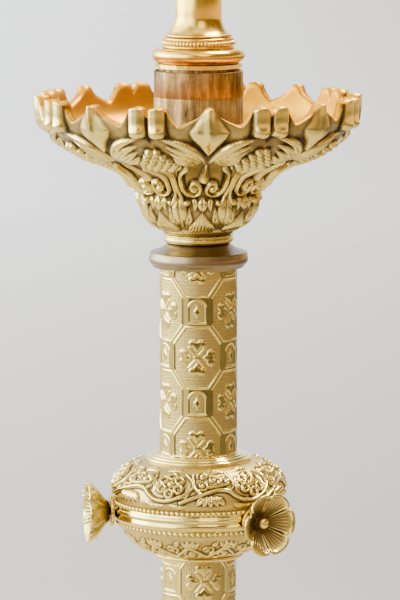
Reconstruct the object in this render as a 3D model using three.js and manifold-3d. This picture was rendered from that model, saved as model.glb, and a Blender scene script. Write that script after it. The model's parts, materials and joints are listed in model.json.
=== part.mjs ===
// Church candelabrum in brass: a round weighted base on three bun feet, an embossed column with a knop,
// a cast drip pan with a candle socket, and a four-armed branch of five lights that lifts out of the
// socket and turns.
// Lengths are in millimetres, +Z is up, and the origin is on the axis at the level of the feet's soles.
import * as THREE from "three";
import { mergeVertices } from "three/addons/utils/BufferGeometryUtils.js";
import Module from "manifold-3d";

const wasm = await Module();
wasm.setup();

// ---- Driving dimensions ----
const CLEARANCE = 0.3; // between neighbours that are cut or turned
const SLIDE_FIT = 0.35; // round a tube or plug in its bore
const REST_GAP = 0.05; // under a turned piece that rests on another
const ROD_R = 4; // tie rod that clamps the whole stand
const ROD_HOLE_R = ROD_R + 2 * CLEARANCE;
const NUT_BORE = 5.1; // across the corners of its six-sided bore
const NUT_H = 6.5;
const WASHER_T = 1.5;
const ROD_BELOW_NUT = 1.5; // how far the rod's ends stand past their nuts
const ROD_ABOVE_NUT = 2.5;
const PLATE_R = 84; // cover plate under the base
const PLATE_T = 2;
const FOOT_REACH = 74; // from the axis to the middle of a foot
const COLUMN_R = 18; // outside of both column tubes
const COLUMN_WALL = 1.5;
const KNOP_R = 40;
const ROSETTE_R = 14.6;
const ROSETTE_SHANK_R = 2;
const ROSETTE_HOLE_R = 2.4;
const ROSETTE_WASHER_T = 1.6;
const ROSETTE_COUNT = 3;
const ROSETTE_FIRST_DEG = -51; // the rosettes and feet stand at this angle from +X and every 120 degrees
const PAN_R = 73.8;
const SOCKET_R = 20.5;
const SOCKET_WALL = 1.6;
const PLUG_BORE_R = 12; // bore of the socket's plug, which takes the branch's spigot
const STEM_R = 10.6;
const STEM_SPIGOT_R = 11.2;
const STEM_SPIGOT_H = 34;
const FOOT_RING_BORE_R = STEM_R + 1.2;
const ARM_COUNT = 4;
const ARM_FIRST_DEG = 45;
const ARM_REACH = 114; // from the axis to the middle of an outer light
const ARM_R = 3.6;
const TENON_R = 3; // the arm's end inside the hub
const TENON_REACH = 14;
const HUB_FACE = 22; // from the axis to the hub's outside at its middle
const HUB_PIN_R = 5.2; // the stem's upper end, through the hub
const HUB_PIN_PROUD = 4;
const HUB_BORE_R = HUB_PIN_R + CLEARANCE;
const CANDLE_R = 11.2; // bore of the small candle cups, for a 22 mm candle
const SPIGOT_R = 3.2; // the pin that a small candle cup drops over
const SPIGOT_H = 9;
const SPIGOT_BORE_R = SPIGOT_R + CLEARANCE;

// ---- Sides given to round pieces, by size ----
const WIDE_SIDES = 30;
const MIDDLE_SIDES = 24;
const SMALL_SIDES = 16;
const PIN_SIDES = 12;

// ---- Heights, from the soles up ----
const FOOT_H = 14;
const PLINTH_H = 20;
const DOME_H = 29;
const BASE_RING_H = 6;
const TRUMPET_H = 31;
const NECK_RING_H = 8;
const LOWER_TUBE_H = 126; // what shows between the neck ring and the knop
const KNOP_BELOW = 22; // from the knop's equator to its lower mouth
const KNOP_ABOVE = 28.7;
const TUBE_IN_KNOP = 2; // how far each tube enters the knop
const UPPER_TUBE_H = 85.1;
const COLLAR_RIM_H = 7.1;
const COLLAR_CONE_H = 4.1;
const PAN_NECK_H = 4.1;
const PAN_H = 64.3; // to the tips of the rim
const NOTCH_H = 8.5; // depth of the notches between the rim's teeth
const TOOTH_COUNT = 16;
const PAN_FLOOR = 4;
const SOCKET_STEP = 8; // the socket's floor above the pan's lower face
const SOCKET_H = 67.5;
const SOCKET_FLOOR = 3;
const PLUG_PROUD = 1.4; // the plug stands a little proud of the socket's lip
const SEAT_RING_H = 1.8;
const TORUS_H = 7.1;
const BEAD_RING_H = 5;
const HUB_H = 42;
const OUTER_LIGHT_RISE = 14; // from the hub's top to an outer drip pan
const CENTRE_LIGHT_RISE = 36;
const ARM_SEAT_H = 7;
const LIGHT_PAN_SEAT = 2;

const plinthZ = FOOT_H;
const domeZ = plinthZ + PLINTH_H;
const baseRingZ = domeZ + DOME_H;
const trumpetZ = baseRingZ + BASE_RING_H;
const neckRingZ = trumpetZ + TRUMPET_H;
const lowerTubeZ = neckRingZ + NECK_RING_H;
const knopZ = lowerTubeZ + LOWER_TUBE_H + KNOP_BELOW;
const upperTubeZ = knopZ + KNOP_ABOVE - TUBE_IN_KNOP;
const collarZ = knopZ + KNOP_ABOVE + UPPER_TUBE_H;
const panNeckZ = collarZ + COLLAR_RIM_H + COLLAR_CONE_H;
const panZ = panNeckZ + PAN_NECK_H;
const socketZ = panZ + SOCKET_STEP;
const topNutZ = socketZ + SOCKET_FLOOR + WASHER_T;
const socketTopZ = socketZ + SOCKET_H;
const plugTopZ = socketTopZ + PLUG_PROUD;
const seatRingTopZ = plugTopZ + SEAT_RING_H;
const branchZ = seatRingTopZ; // where the branch rests on its seat ring
const hubZ = branchZ + 61;
const hubMiddleZ = hubZ + 22;
const hubTopZ = hubZ + HUB_H;
const outerLightZ = hubTopZ + OUTER_LIGHT_RISE;
const centreLightZ = hubTopZ + CENTRE_LIGHT_RISE;

// ---- Materials ----
const metal = (color, roughness) => new THREE.MeshStandardMaterial({ color, roughness, metalness: 1 });
const castBrass = metal(0xc9b06a, 0.35);
const embossedBrass = metal(0xcdb878, 0.28);
const polishedBrass = metal(0xd9a441, 0.15);
const agedBrass = metal(0x8a6a3c, 0.5);
const darkBronze = metal(0x6d5f45, 0.4);
const steel = metal(0x8d8f92, 0.45);
const iron = metal(0x3a3836, 0.7);

// ---- Shape helpers ----
const group = new THREE.Group();

function addPart(name, geometry, material, parent = group) {
  const mesh = new THREE.Mesh(geometry, material);
  mesh.name = name;
  parent.add(mesh);
  return mesh;
}

// A smooth outline through a few [radius, height] points.
function smooth(points, steps) {
  const curve = new THREE.SplineCurve(points.map(([r, z]) => new THREE.Vector2(r, z)));
  return curve.getPoints(steps).map((p) => [p.x, p.y]);
}

// A round stretch of outline about [r, z], between two angles in degrees from the outward direction.
function arc(r, z, radius, from, to, steps) {
  return Array.from({ length: steps + 1 }, (_, i) => {
    const a = THREE.MathUtils.degToRad(from + ((to - from) * i) / steps);
    return [r + radius * Math.cos(a), z + radius * Math.sin(a)];
  });
}

// A solid of revolution about +Z. The outline starts and ends on the axis.
function turned(outline, segments, z = 0) {
  const points = outline.map(([r, h]) => new THREE.Vector2(r, h));
  return new THREE.LatheGeometry(points, segments).rotateX(Math.PI / 2).translate(0, 0, z);
}

// A ring turned about +Z, from an outline that goes up the outside and down the bore.
function ring(outline, segments, z = 0) {
  return turned([...outline, outline[0]], segments, z);
}

function washer(outer, bore, height, segments, z) {
  return ring([[outer, 0], [outer, height], [bore, height], [bore, 0]], segments, z);
}

// A sweep of a round section along a curve in the XZ plane.
function rod(curve, radius, sides, steps) {
  const section = new THREE.Shape(
    Array.from({ length: sides }, (_, i) => {
      const a = (2 * Math.PI * (i + 0.5)) / sides;
      return new THREE.Vector2(radius * Math.cos(a), radius * Math.sin(a));
    }),
  );
  return new THREE.ExtrudeGeometry(section, { steps, bevelEnabled: false, extrudePath: curve });
}

function solid(geometry) {
  const bare = geometry.clone();
  bare.deleteAttribute("normal");
  bare.deleteAttribute("uv");
  const merged = mergeVertices(bare, 1e-4);
  const mesh = new wasm.Mesh({
    numProp: 3,
    vertProperties: merged.getAttribute("position").array,
    triVerts: new Uint32Array(merged.index.array),
  });
  return new wasm.Manifold(mesh);
}

function geometryOf(manifold) {
  const mesh = manifold.getMesh();
  return new THREE.BufferGeometry()
    .setAttribute("position", new THREE.BufferAttribute(new Float32Array(mesh.vertProperties), 3))
    .setIndex(new THREE.BufferAttribute(new Uint32Array(mesh.triVerts), 1));
}

// A cylinder along +X, from one radius from the axis to another.
function spoke(radius, from, to, z) {
  return new THREE.CylinderGeometry(radius, radius, to - from, PIN_SIDES)
    .rotateZ(-Math.PI / 2)
    .translate((from + to) / 2, 0, z);
}

// Angles from +X, in radians, of a number of pieces spaced evenly round the axis.
function anglesAround(count, firstDeg) {
  return Array.from({ length: count }, (_, i) => THREE.MathUtils.degToRad(firstDeg + (360 / count) * i));
}

const rosetteAngles = anglesAround(ROSETTE_COUNT, ROSETTE_FIRST_DEG);
const armAngles = anglesAround(ARM_COUNT, ARM_FIRST_DEG);

// A body with a radial hole at each of the angles.
function drilled(body, radius, from, to, z, angles) {
  const hole = (angle) => solid(spoke(radius, from, to, z).rotateZ(angle));
  return angles.reduce((left, angle) => left.subtract(hole(angle)), body);
}

// Each vertex of a Z-up turned geometry moved by bend(angle, radius, height), which returns [radius, height].
function reshaped(geometry, bend) {
  const position = geometry.getAttribute("position");
  for (let i = 0; i < position.count; i++) {
    const [x, y] = [position.getX(i), position.getY(i)];
    const angle = Math.atan2(y, x);
    const [r, z] = bend(angle, Math.hypot(x, y), position.getZ(i));
    position.setXYZ(i, r * Math.cos(angle), r * Math.sin(angle), z);
  }
  return geometry;
}

// ---- Base ----
function makeBase() {
  const plateHole = PLATE_R + CLEARANCE;
  const plinth = [
    [plateHole, 0], [90, 0], [92, 2], [92, 6], [88.5, 8],
    ...smooth([[87, 11], [84, 14.5], [79, 17]], 2),
    [78, PLINTH_H], [68, PLINTH_H], [68, 17], [77, 14], [plateHole, 7],
  ];
  addPart("base_plinth", ring(plinth, WIDE_SIDES, plinthZ), castBrass);
  addPart("base_cover_plate", washer(PLATE_R, ROD_HOLE_R, PLATE_T, WIDE_SIDES, plinthZ), agedBrass);

  const domeOut = smooth([[76, 0], [74, 7], [67, 16], [56, 24], [46, DOME_H]], 5);
  const domeIn = smooth([[44, DOME_H - 2], [54, 21.5], [64.5, 14], [71.5, 6], [73, 0]], 3);
  const dome = [...domeOut, [24, DOME_H], [24, DOME_H - 2], ...domeIn];
  addPart("base_dome", ring(dome, WIDE_SIDES, domeZ), castBrass);

  const roundOver = arc(44, BASE_RING_H / 2, BASE_RING_H / 2, -50, 50, 2);
  const beadRing = [[44, 0], ...roundOver, [44, BASE_RING_H], [24, BASE_RING_H], [24, 0]];
  addPart("base_bead_ring", ring(beadRing, WIDE_SIDES, baseRingZ), polishedBrass);

  const trumpetOut = smooth([[42, 0], [34, 5], [27.5, 13], [23.5, 23], [22, TRUMPET_H]], 5);
  const trumpetIn = smooth([[20, TRUMPET_H], [21.5, 22], [25.5, 12], [32, 4], [37, 0]], 3);
  addPart("base_trumpet", ring([...trumpetOut, ...trumpetIn], MIDDLE_SIDES, trumpetZ), castBrass);

  const swell = arc(21.5, NECK_RING_H / 2, NECK_RING_H / 2, -60, 60, 3);
  const neck = [[21, 0], ...swell, [21, NECK_RING_H], [15.5, NECK_RING_H], [15.5, 0]];
  addPart("base_neck_ring", ring(neck, MIDDLE_SIDES, neckRingZ), polishedBrass);

  const weightZ = plinthZ + PLATE_T + CLEARANCE;
  addPart("base_weight", washer(60, ROD_HOLE_R, 14, MIDDLE_SIDES, weightZ), iron);
  addPart("base_washer", washer(14, ROD_HOLE_R, WASHER_T, PIN_SIDES, plinthZ - WASHER_T), steel);
  addPart("base_nut", washer(8.5, NUT_BORE, NUT_H, 6, plinthZ - WASHER_T - NUT_H), steel);
}

function makeFeet() {
  const bun = [
    [0, 0], [8, 0], ...smooth([[10, 1], [13, 6], [10.5, 10.5], [8.5, 11.5]], 4),
    [8.5, FOOT_H], [0, FOOT_H],
  ];
  rosetteAngles.forEach((angle, i) => {
    const foot = addPart(`foot_${i + 1}`, turned(bun, PIN_SIDES), castBrass);
    foot.position.set(FOOT_REACH * Math.cos(angle), FOOT_REACH * Math.sin(angle), 0);
  });
}

// ---- Column ----
function makeColumn() {
  const bore = COLUMN_R - COLUMN_WALL;
  const lowerHeight = LOWER_TUBE_H + TUBE_IN_KNOP;
  addPart("lower_tube", washer(COLUMN_R, bore, lowerHeight, MIDDLE_SIDES, lowerTubeZ), embossedBrass);
  const upperHeight = collarZ - upperTubeZ;
  addPart("upper_tube", washer(COLUMN_R, bore, upperHeight, MIDDLE_SIDES, upperTubeZ), embossedBrass);

  const coreZ = lowerTubeZ + lowerHeight;
  const coreH = upperTubeZ - coreZ;
  const core = [
    [COLUMN_R, 0], [COLUMN_R, 3], [14, 5], [14, coreH - 5], [COLUMN_R, coreH - 3], [COLUMN_R, coreH],
    [ROD_HOLE_R, coreH], [ROD_HOLE_R, 0],
  ];
  addPart("knop_core", ring(core, MIDDLE_SIDES, coreZ), castBrass);

  const collarH = COLLAR_RIM_H + COLLAR_CONE_H;
  const collar = [
    [19, 0], [21.2, 0], ...smooth([[22.6, 1.4], [23, 3.5], [22.4, COLLAR_RIM_H]], 2),
    ...smooth([[20.5, COLLAR_RIM_H + 0.6], [16.5, COLLAR_RIM_H + 2], [14.2, collarH]], 3),
    [ROD_HOLE_R, collarH], [ROD_HOLE_R, 0],
  ];
  addPart("column_collar", ring(collar, MIDDLE_SIDES, collarZ), darkBronze);

  const rodZ = plinthZ - WASHER_T - NUT_H - ROD_BELOW_NUT;
  const rodH = topNutZ + NUT_H + ROD_ABOVE_NUT - rodZ;
  addPart("tie_rod", turned([[0, 0], [ROD_R, 0], [ROD_R, rodH], [0, rodH]], PIN_SIDES, rodZ), steel);
}

// ---- Knop: two embossed shells soldered to a beaded band ----
function makeKnop() {
  const mouth = COLUMN_R + SLIDE_FIT;
  const bandBelow = 6.5;
  const bandAbove = 6;
  const upperOut = smooth([[39, bandAbove], [40.3, 9.2], [38.8, 14.2], [34.8, 18.8], [29.2, 22.6], [25, 24.2]], 4);
  const upperIn = smooth([[20, 22.4], [26.6, 20.4], [32.4, 16.8], [36.2, 12.8], [37.6, 9.2], [36.6, bandAbove]], 3);
  const lip = [[24.4, 27.2], [21.2, KNOP_ABOVE], [mouth, KNOP_ABOVE], [mouth, 23]];
  addPart("knop_upper_shell", ring([...upperOut, ...lip, ...upperIn], WIDE_SIDES, knopZ), embossedBrass);

  const lowerOut = smooth([[21, -20.5], [28.2, -16.6], [33.4, -12.6], [36.6, -bandBelow]], 4);
  const lowerIn = smooth([[34.6, -bandBelow], [31.6, -11.4], [27, -14.8], [20, -18.4]], 3);
  const foot = [[mouth, -18.8], [mouth, -KNOP_BELOW], [20.4, -KNOP_BELOW]];
  addPart("knop_lower_shell", ring([...foot, ...lowerOut, ...lowerIn], WIDE_SIDES, knopZ), embossedBrass);

  const bandOut = smooth([[37.4, -bandBelow], [39.4, -3.4], [KNOP_R, 0], [39.7, 3], [38.8, bandAbove]], 4);
  const band = solid(ring([...bandOut, [35, bandAbove], [33.4, -bandBelow]], WIDE_SIDES, knopZ));
  const pierced = drilled(band, ROSETTE_HOLE_R, KNOP_R - 10, KNOP_R + 4, knopZ, rosetteAngles);
  addPart("knop_band", geometryOf(pierced), embossedBrass);
}

// A six-petalled cup on a screw shank, made along +Z with its back at zero and its mouth upwards.
function rosette() {
  const shank = 21.5;
  const outline = [
    [0, -shank], [ROSETTE_SHANK_R, -shank], [ROSETTE_SHANK_R, 0], [4.6, 0],
    ...smooth([[7.5, 3], [12, 6.6], [ROSETTE_R, 9.8]], 2),
    [ROSETTE_R - 1, 10.4], [10.5, 6.6], [3, 3.2], [2.6, 5], [0, 6],
  ];
  return reshaped(turned(outline, MIDDLE_SIDES), (angle, r, z) => {
    const petal = 1 - 0.1 * Math.pow(Math.abs(Math.sin(3 * angle)), 3) * Math.min(1, r / ROSETTE_R);
    return [r * petal, z];
  });
}

function makeRosettes() {
  const disc = washer(7.2, ROSETTE_HOLE_R, ROSETTE_WASHER_T, PIN_SIDES, 0);
  rosetteAngles.forEach((angle, i) => {
    const carrier = new THREE.Group();
    carrier.rotation.z = angle;
    group.add(carrier);
    const under = addPart(`rosette_washer_${i + 1}`, disc, polishedBrass, carrier);
    under.position.set(KNOP_R + CLEARANCE, 0, knopZ);
    under.rotation.y = Math.PI / 2;
    const flower = addPart(`rosette_screw_${i + 1}`, rosette(), castBrass, carrier);
    flower.position.set(KNOP_R + 2 * CLEARANCE + ROSETTE_WASHER_T, 0, knopZ);
    flower.rotation.y = Math.PI / 2;
  });
}

// ---- Drip pan and candle socket ----
function makeDripPan() {
  const neck = [[13.8, 0], [15.6, 1], [16.6, PAN_NECK_H], [ROD_HOLE_R, PAN_NECK_H], [ROD_HOLE_R, 0]];
  addPart("pan_neck_ring", ring(neck, MIDDLE_SIDES, panNeckZ), castBrass);

  const notchZ = PAN_H - NOTCH_H;
  const outside = smooth(
    [[18.5, 0], [23.8, 5], [27.2, 11.5], [28.6, 18.6], [38, 28], [55, 35], [68, 44.5], [73.6, notchZ]], 7,
  );
  const inside = smooth(
    [[70.6, notchZ], [65, 46], [53.5, 38.6], [36.5, 31.8], [25.8, 20], [24.2, 11.5], [21.5, 7], [19, 4]], 5,
  );
  const rim = [[PAN_R, PAN_H], [PAN_R - 3, PAN_H]];
  const outline = [...outside, ...rim, ...inside, [ROD_HOLE_R, PAN_FLOOR], [ROD_HOLE_R, 0]];
  const step = (2 * Math.PI) / TOOTH_COUNT;
  const shape = reshaped(ring(outline, TOOTH_COUNT * 4), (angle, r, z) => {
    const fromTooth = Math.abs(angle / step - Math.round(angle / step)) * 2;
    const cut = z > notchZ ? (z - notchZ) * Math.max(0, fromTooth * 1.5 - 0.5) * 0.95 : 0;
    return [r, z - cut];
  });
  addPart("drip_pan", shape.rotateZ(-Math.PI / 2).translate(0, 0, panZ), castBrass);
}

function makeSocket() {
  const bore = SOCKET_R - SOCKET_WALL;
  const spacer = washer(13, ROD_HOLE_R, SOCKET_STEP - PAN_FLOOR, SMALL_SIDES, panZ + PAN_FLOOR);
  addPart("socket_spacer", spacer, castBrass);
  const cup = [
    [SOCKET_R, 0], [SOCKET_R, SOCKET_H], [bore, SOCKET_H], [bore, SOCKET_FLOOR],
    [ROD_HOLE_R, SOCKET_FLOOR], [ROD_HOLE_R, 0],
  ];
  addPart("candle_socket", ring(cup, MIDDLE_SIDES, socketZ), agedBrass);
  addPart("socket_washer", washer(9.5, ROD_HOLE_R, WASHER_T, PIN_SIDES, socketZ + SOCKET_FLOOR), steel);
  addPart("socket_nut", washer(8.5, NUT_BORE, NUT_H, 6, topNutZ), steel);

  const plugZ = socketZ + SOCKET_FLOOR;
  const plug = washer(bore - SLIDE_FIT, PLUG_BORE_R, plugTopZ - plugZ, MIDDLE_SIDES, plugZ);
  addPart("socket_plug", plug, agedBrass);
  addPart("seat_ring", washer(20.1, PLUG_BORE_R, SEAT_RING_H, MIDDLE_SIDES, plugTopZ), polishedBrass);
}

// ---- Branch: stem, hub, arms ----
function makeBranchStem() {
  const torusZ = branchZ + REST_GAP;
  const torus = [
    [19, 0], [19, 1], ...arc(18.4, 3.9, 3.1, -60, 70, 4), [17, TORUS_H],
    [FOOT_RING_BORE_R, TORUS_H], [FOOT_RING_BORE_R, 0],
  ];
  addPart("branch_foot_ring", ring(torus, MIDDLE_SIDES, torusZ), polishedBrass);
  const bead = [
    [15.4, 0], [16, 0.6], ...arc(16, 2.4, 1.5, -50, 50, 2), [15.8, BEAD_RING_H],
    [FOOT_RING_BORE_R, BEAD_RING_H], [FOOT_RING_BORE_R, 0],
  ];
  addPart("branch_bead_ring", ring(bead, MIDDLE_SIDES, torusZ + TORUS_H), polishedBrass);

  const flareZ = 2 * REST_GAP + TORUS_H + BEAD_RING_H;
  const pinTopZ = hubTopZ - branchZ + HUB_PIN_PROUD;
  const stem = [
    [0, -STEM_SPIGOT_H], [STEM_SPIGOT_R, -STEM_SPIGOT_H], [STEM_SPIGOT_R, flareZ],
    [15.5, flareZ], [15.5, flareZ + 0.5],
    ...smooth([[13.6, flareZ + 2.7], [12, flareZ + 4.5], [STEM_R, flareZ + 8.7]], 3),
    [STEM_R, hubZ - branchZ], [HUB_PIN_R, hubZ - branchZ], [HUB_PIN_R, pinTopZ], [0, pinTopZ],
  ];
  addPart("branch_stem", turned(stem, SMALL_SIDES, branchZ), polishedBrass);
}

function makeHub() {
  const outline = [
    [13.6, 0], [14.6, 2.2], [12, 5], ...smooth([[13, 8], [19.5, 14], [21.6, 22], [18.5, 30], [12.5, 35]], 4),
    [12, 37], [14.4, HUB_H - 2.6], [11, HUB_H], [HUB_BORE_R, HUB_H], [HUB_BORE_R, 0],
  ];
  const hub = solid(ring(outline, MIDDLE_SIDES, hubZ));
  const mortises = drilled(hub, TENON_R + CLEARANCE, TENON_REACH - 2, HUB_FACE + 4, hubMiddleZ, armAngles);
  addPart("branch_hub", geometryOf(mortises), polishedBrass);
}

// One S-shaped arm in the XZ plane: a tenon for the hub, the sweep, and a seat with its spigot.
function arm() {
  const bossZ = outerLightZ - ARM_SEAT_H;
  const line = [
    [HUB_FACE, hubMiddleZ], [31, hubMiddleZ + 1], [43, hubMiddleZ - 5], [56, hubMiddleZ - 14],
    [73, hubMiddleZ - 19], [92, hubMiddleZ - 14], [106, hubMiddleZ + 1], [ARM_REACH, hubMiddleZ + 19],
    [ARM_REACH, bossZ],
  ];
  const curve = new THREE.CatmullRomCurve3(line.map(([x, z]) => new THREE.Vector3(x, 0, z)));
  const spigotTop = ARM_SEAT_H + SPIGOT_H;
  const boss = [
    [0, 0], [ARM_R, 0], [7, 3.4], [7.4, 5.4], [6.6, ARM_SEAT_H], [SPIGOT_R, ARM_SEAT_H],
    [SPIGOT_R, spigotTop], [0, spigotTop],
  ];
  return geometryOf(
    solid(rod(curve, ARM_R, 8, 18))
      .add(solid(turned(boss, PIN_SIDES).translate(ARM_REACH, 0, bossZ - 1)))
      .add(solid(spoke(TENON_R, TENON_REACH, HUB_FACE + 0.5, hubMiddleZ)))
      .add(solid(spoke(ARM_R + 1.6, HUB_FACE, HUB_FACE + 3, hubMiddleZ))),
  );
}

function makeArms() {
  armAngles.forEach((angle, i) => {
    addPart(`arm_${i + 1}`, arm(), polishedBrass).rotation.z = angle;
  });
}

// ---- Lights: a drip pan and a candle cup over a spigot ----
function lightPan() {
  const outline = [
    [7, 0], ...smooth([[14, 0.6], [23, 3], [30, 6.6]], 2), [33, 7.2], [33, 8.4],
    [22, 4.6], [12, LIGHT_PAN_SEAT], [SPIGOT_BORE_R, LIGHT_PAN_SEAT], [SPIGOT_BORE_R, 0],
  ];
  return ring(outline, SMALL_SIDES);
}

function lightCup() {
  const outline = [
    [0, SPIGOT_H], [SPIGOT_BORE_R, SPIGOT_H], [SPIGOT_BORE_R, 0], [9, 0], [9.6, 1.4], [6.4, 4], [6.8, 7],
    ...smooth([[10.5, 10], [13, 16], [12.6, 26], [13.6, 31]], 3), [14.8, 33], [14.4, 34.5],
    [CANDLE_R, 34.5], [CANDLE_R, 12.5], [0, 12.5],
  ];
  return turned(outline, PIN_SIDES);
}

function makeLight(name, x, y, z) {
  const pan = addPart(`${name}_pan`, lightPan(), polishedBrass);
  pan.position.set(x, y, z + 2 * REST_GAP);
  const cup = addPart(`${name}_cup`, lightCup(), polishedBrass);
  cup.position.set(x, y, z + LIGHT_PAN_SEAT + CLEARANCE);
}

function makeLights() {
  armAngles.forEach((angle, i) => {
    makeLight(`light_${i + 1}`, ARM_REACH * Math.cos(angle), ARM_REACH * Math.sin(angle), outerLightZ - 1);
  });
  const spindleZ = hubTopZ + REST_GAP;
  const height = centreLightZ - spindleZ;
  const pinHole = HUB_PIN_PROUD + 2 * CLEARANCE;
  const spindle = [
    [9, 0], [10.6, 1.6], [9.4, 3.4], ...smooth([[6.4, 6], [6.2, 11], [9, 17], [9.6, 22], [6, 29]], 6),
    [6.6, height], [SPIGOT_R, height], [SPIGOT_R, height + SPIGOT_H],
    [0, height + SPIGOT_H], [0, pinHole], [HUB_BORE_R, pinHole], [HUB_BORE_R, 0],
  ];
  addPart("centre_spindle", ring(spindle, SMALL_SIDES, spindleZ), polishedBrass);
  makeLight("light_centre", 0, 0, centreLightZ);
}

makeFeet();
makeBase();
makeColumn();
makeKnop();
makeRosettes();
makeDripPan();
makeSocket();
makeBranchStem();
makeHub();
makeArms();
makeLights();

export default group;
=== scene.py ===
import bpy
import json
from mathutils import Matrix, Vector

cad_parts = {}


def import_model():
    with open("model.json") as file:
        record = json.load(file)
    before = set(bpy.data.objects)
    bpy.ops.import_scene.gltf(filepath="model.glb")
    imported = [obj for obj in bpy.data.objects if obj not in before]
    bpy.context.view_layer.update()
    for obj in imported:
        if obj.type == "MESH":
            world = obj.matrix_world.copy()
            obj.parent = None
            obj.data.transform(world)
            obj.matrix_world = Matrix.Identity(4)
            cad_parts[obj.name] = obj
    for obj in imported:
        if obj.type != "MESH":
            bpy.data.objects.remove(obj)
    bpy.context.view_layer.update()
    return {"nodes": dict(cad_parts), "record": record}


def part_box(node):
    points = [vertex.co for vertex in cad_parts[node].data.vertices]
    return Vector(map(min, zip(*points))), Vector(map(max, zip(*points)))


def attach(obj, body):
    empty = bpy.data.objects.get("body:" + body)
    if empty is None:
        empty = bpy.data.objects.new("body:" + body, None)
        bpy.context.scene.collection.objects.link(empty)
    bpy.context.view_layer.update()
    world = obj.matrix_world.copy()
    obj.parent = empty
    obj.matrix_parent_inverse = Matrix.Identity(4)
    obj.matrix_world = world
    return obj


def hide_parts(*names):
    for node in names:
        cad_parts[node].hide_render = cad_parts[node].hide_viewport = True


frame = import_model()

import copy
import json
import math

import bpy
import numpy as np
from mathutils import Matrix, Vector

# Lengths are in millimetres until a mesh is made, and in metres in the stage. Angles are in degrees, round
# the column from the viewer's side (-Y) towards +X. Relief is drawn on a patch whose coordinates are that
# angle and the length along the piece's outline.
MM = 0.001
TURN = 360.0

STAND = "stand"
BRANCH = "branch"
FAR = 1e9


# ---- Places taken from the frame ----
def bottom(node):
    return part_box(node)[0][2] / MM


def top(node):
    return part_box(node)[1][2] / MM


def radius(node):
    low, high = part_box(node)
    return (high[0] - low[0]) / 2 / MM


def centre_of(node):
    """The node's middle seen from above."""
    low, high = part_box(node)
    return (low[0] + high[0]) / 2 / MM, (low[1] + high[1]) / 2 / MM


KNOP_Z = (bottom("rosette_screw_1") + top("rosette_screw_1")) / 2
TUBE_R = radius("upper_tube")
PAN_Z = bottom("drip_pan")
BRANCH_Z = bottom("branch_foot_ring")


# ---- Lines and outlines ----
def curve(points, steps=8):
    """A Catmull-Rom curve through the points, with that many steps between each two."""
    p = np.array(points, float)
    p = np.vstack([2 * p[0] - p[1], p, 2 * p[-1] - p[-2]])
    out = []
    for i in range(1, len(p) - 2):
        for t in np.arange(steps) / steps:
            a = 2 * p[i]
            b = p[i + 1] - p[i - 1]
            c = 2 * p[i - 1] - 5 * p[i] + 4 * p[i + 1] - p[i + 2]
            d = -p[i - 1] + 3 * p[i] - 3 * p[i + 1] + p[i + 2]
            out.append(0.5 * (a + b * t + c * t**2 + d * t**3))
    out.append(p[-2])
    return np.array(out)


def arc(x, y, r, start, end, steps=10):
    """A round stretch of outline about (x, y)."""
    a = np.radians(np.linspace(start, end, steps + 1))
    return np.column_stack([x + r * np.cos(a), y + r * np.sin(a)])


def outline(*stretches):
    """Stretches of (radius, height) points joined into one outline."""
    return np.vstack([np.atleast_2d(np.array(s, float)) for s in stretches])


def resample(points, count):
    """The same outline with evenly spaced points. Returns them and their lengths along it."""
    p = np.array(points, float)
    length = np.concatenate([[0], np.cumsum(np.hypot(*np.diff(p, axis=0).T))])
    s = np.linspace(0, length[-1], count)
    return np.column_stack([np.interp(s, length, p[:, 0]), np.interp(s, length, p[:, 1])]), s


def normals(points):
    """Unit normals to the right of the outline's direction, so outwards when it goes up the outside."""
    d = np.gradient(np.array(points, float), axis=0)
    d /= np.maximum(np.hypot(d[:, 0], d[:, 1]), 1e-9)[:, None]
    return np.column_stack([d[:, 1], -d[:, 0]])


def step(edge, width, x):
    """Rises smoothly from 0 to 1 over a width about the edge."""
    t = np.clip((x - edge) / width + 0.5, 0, 1)
    return t * t * (3 - 2 * t)


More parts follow.
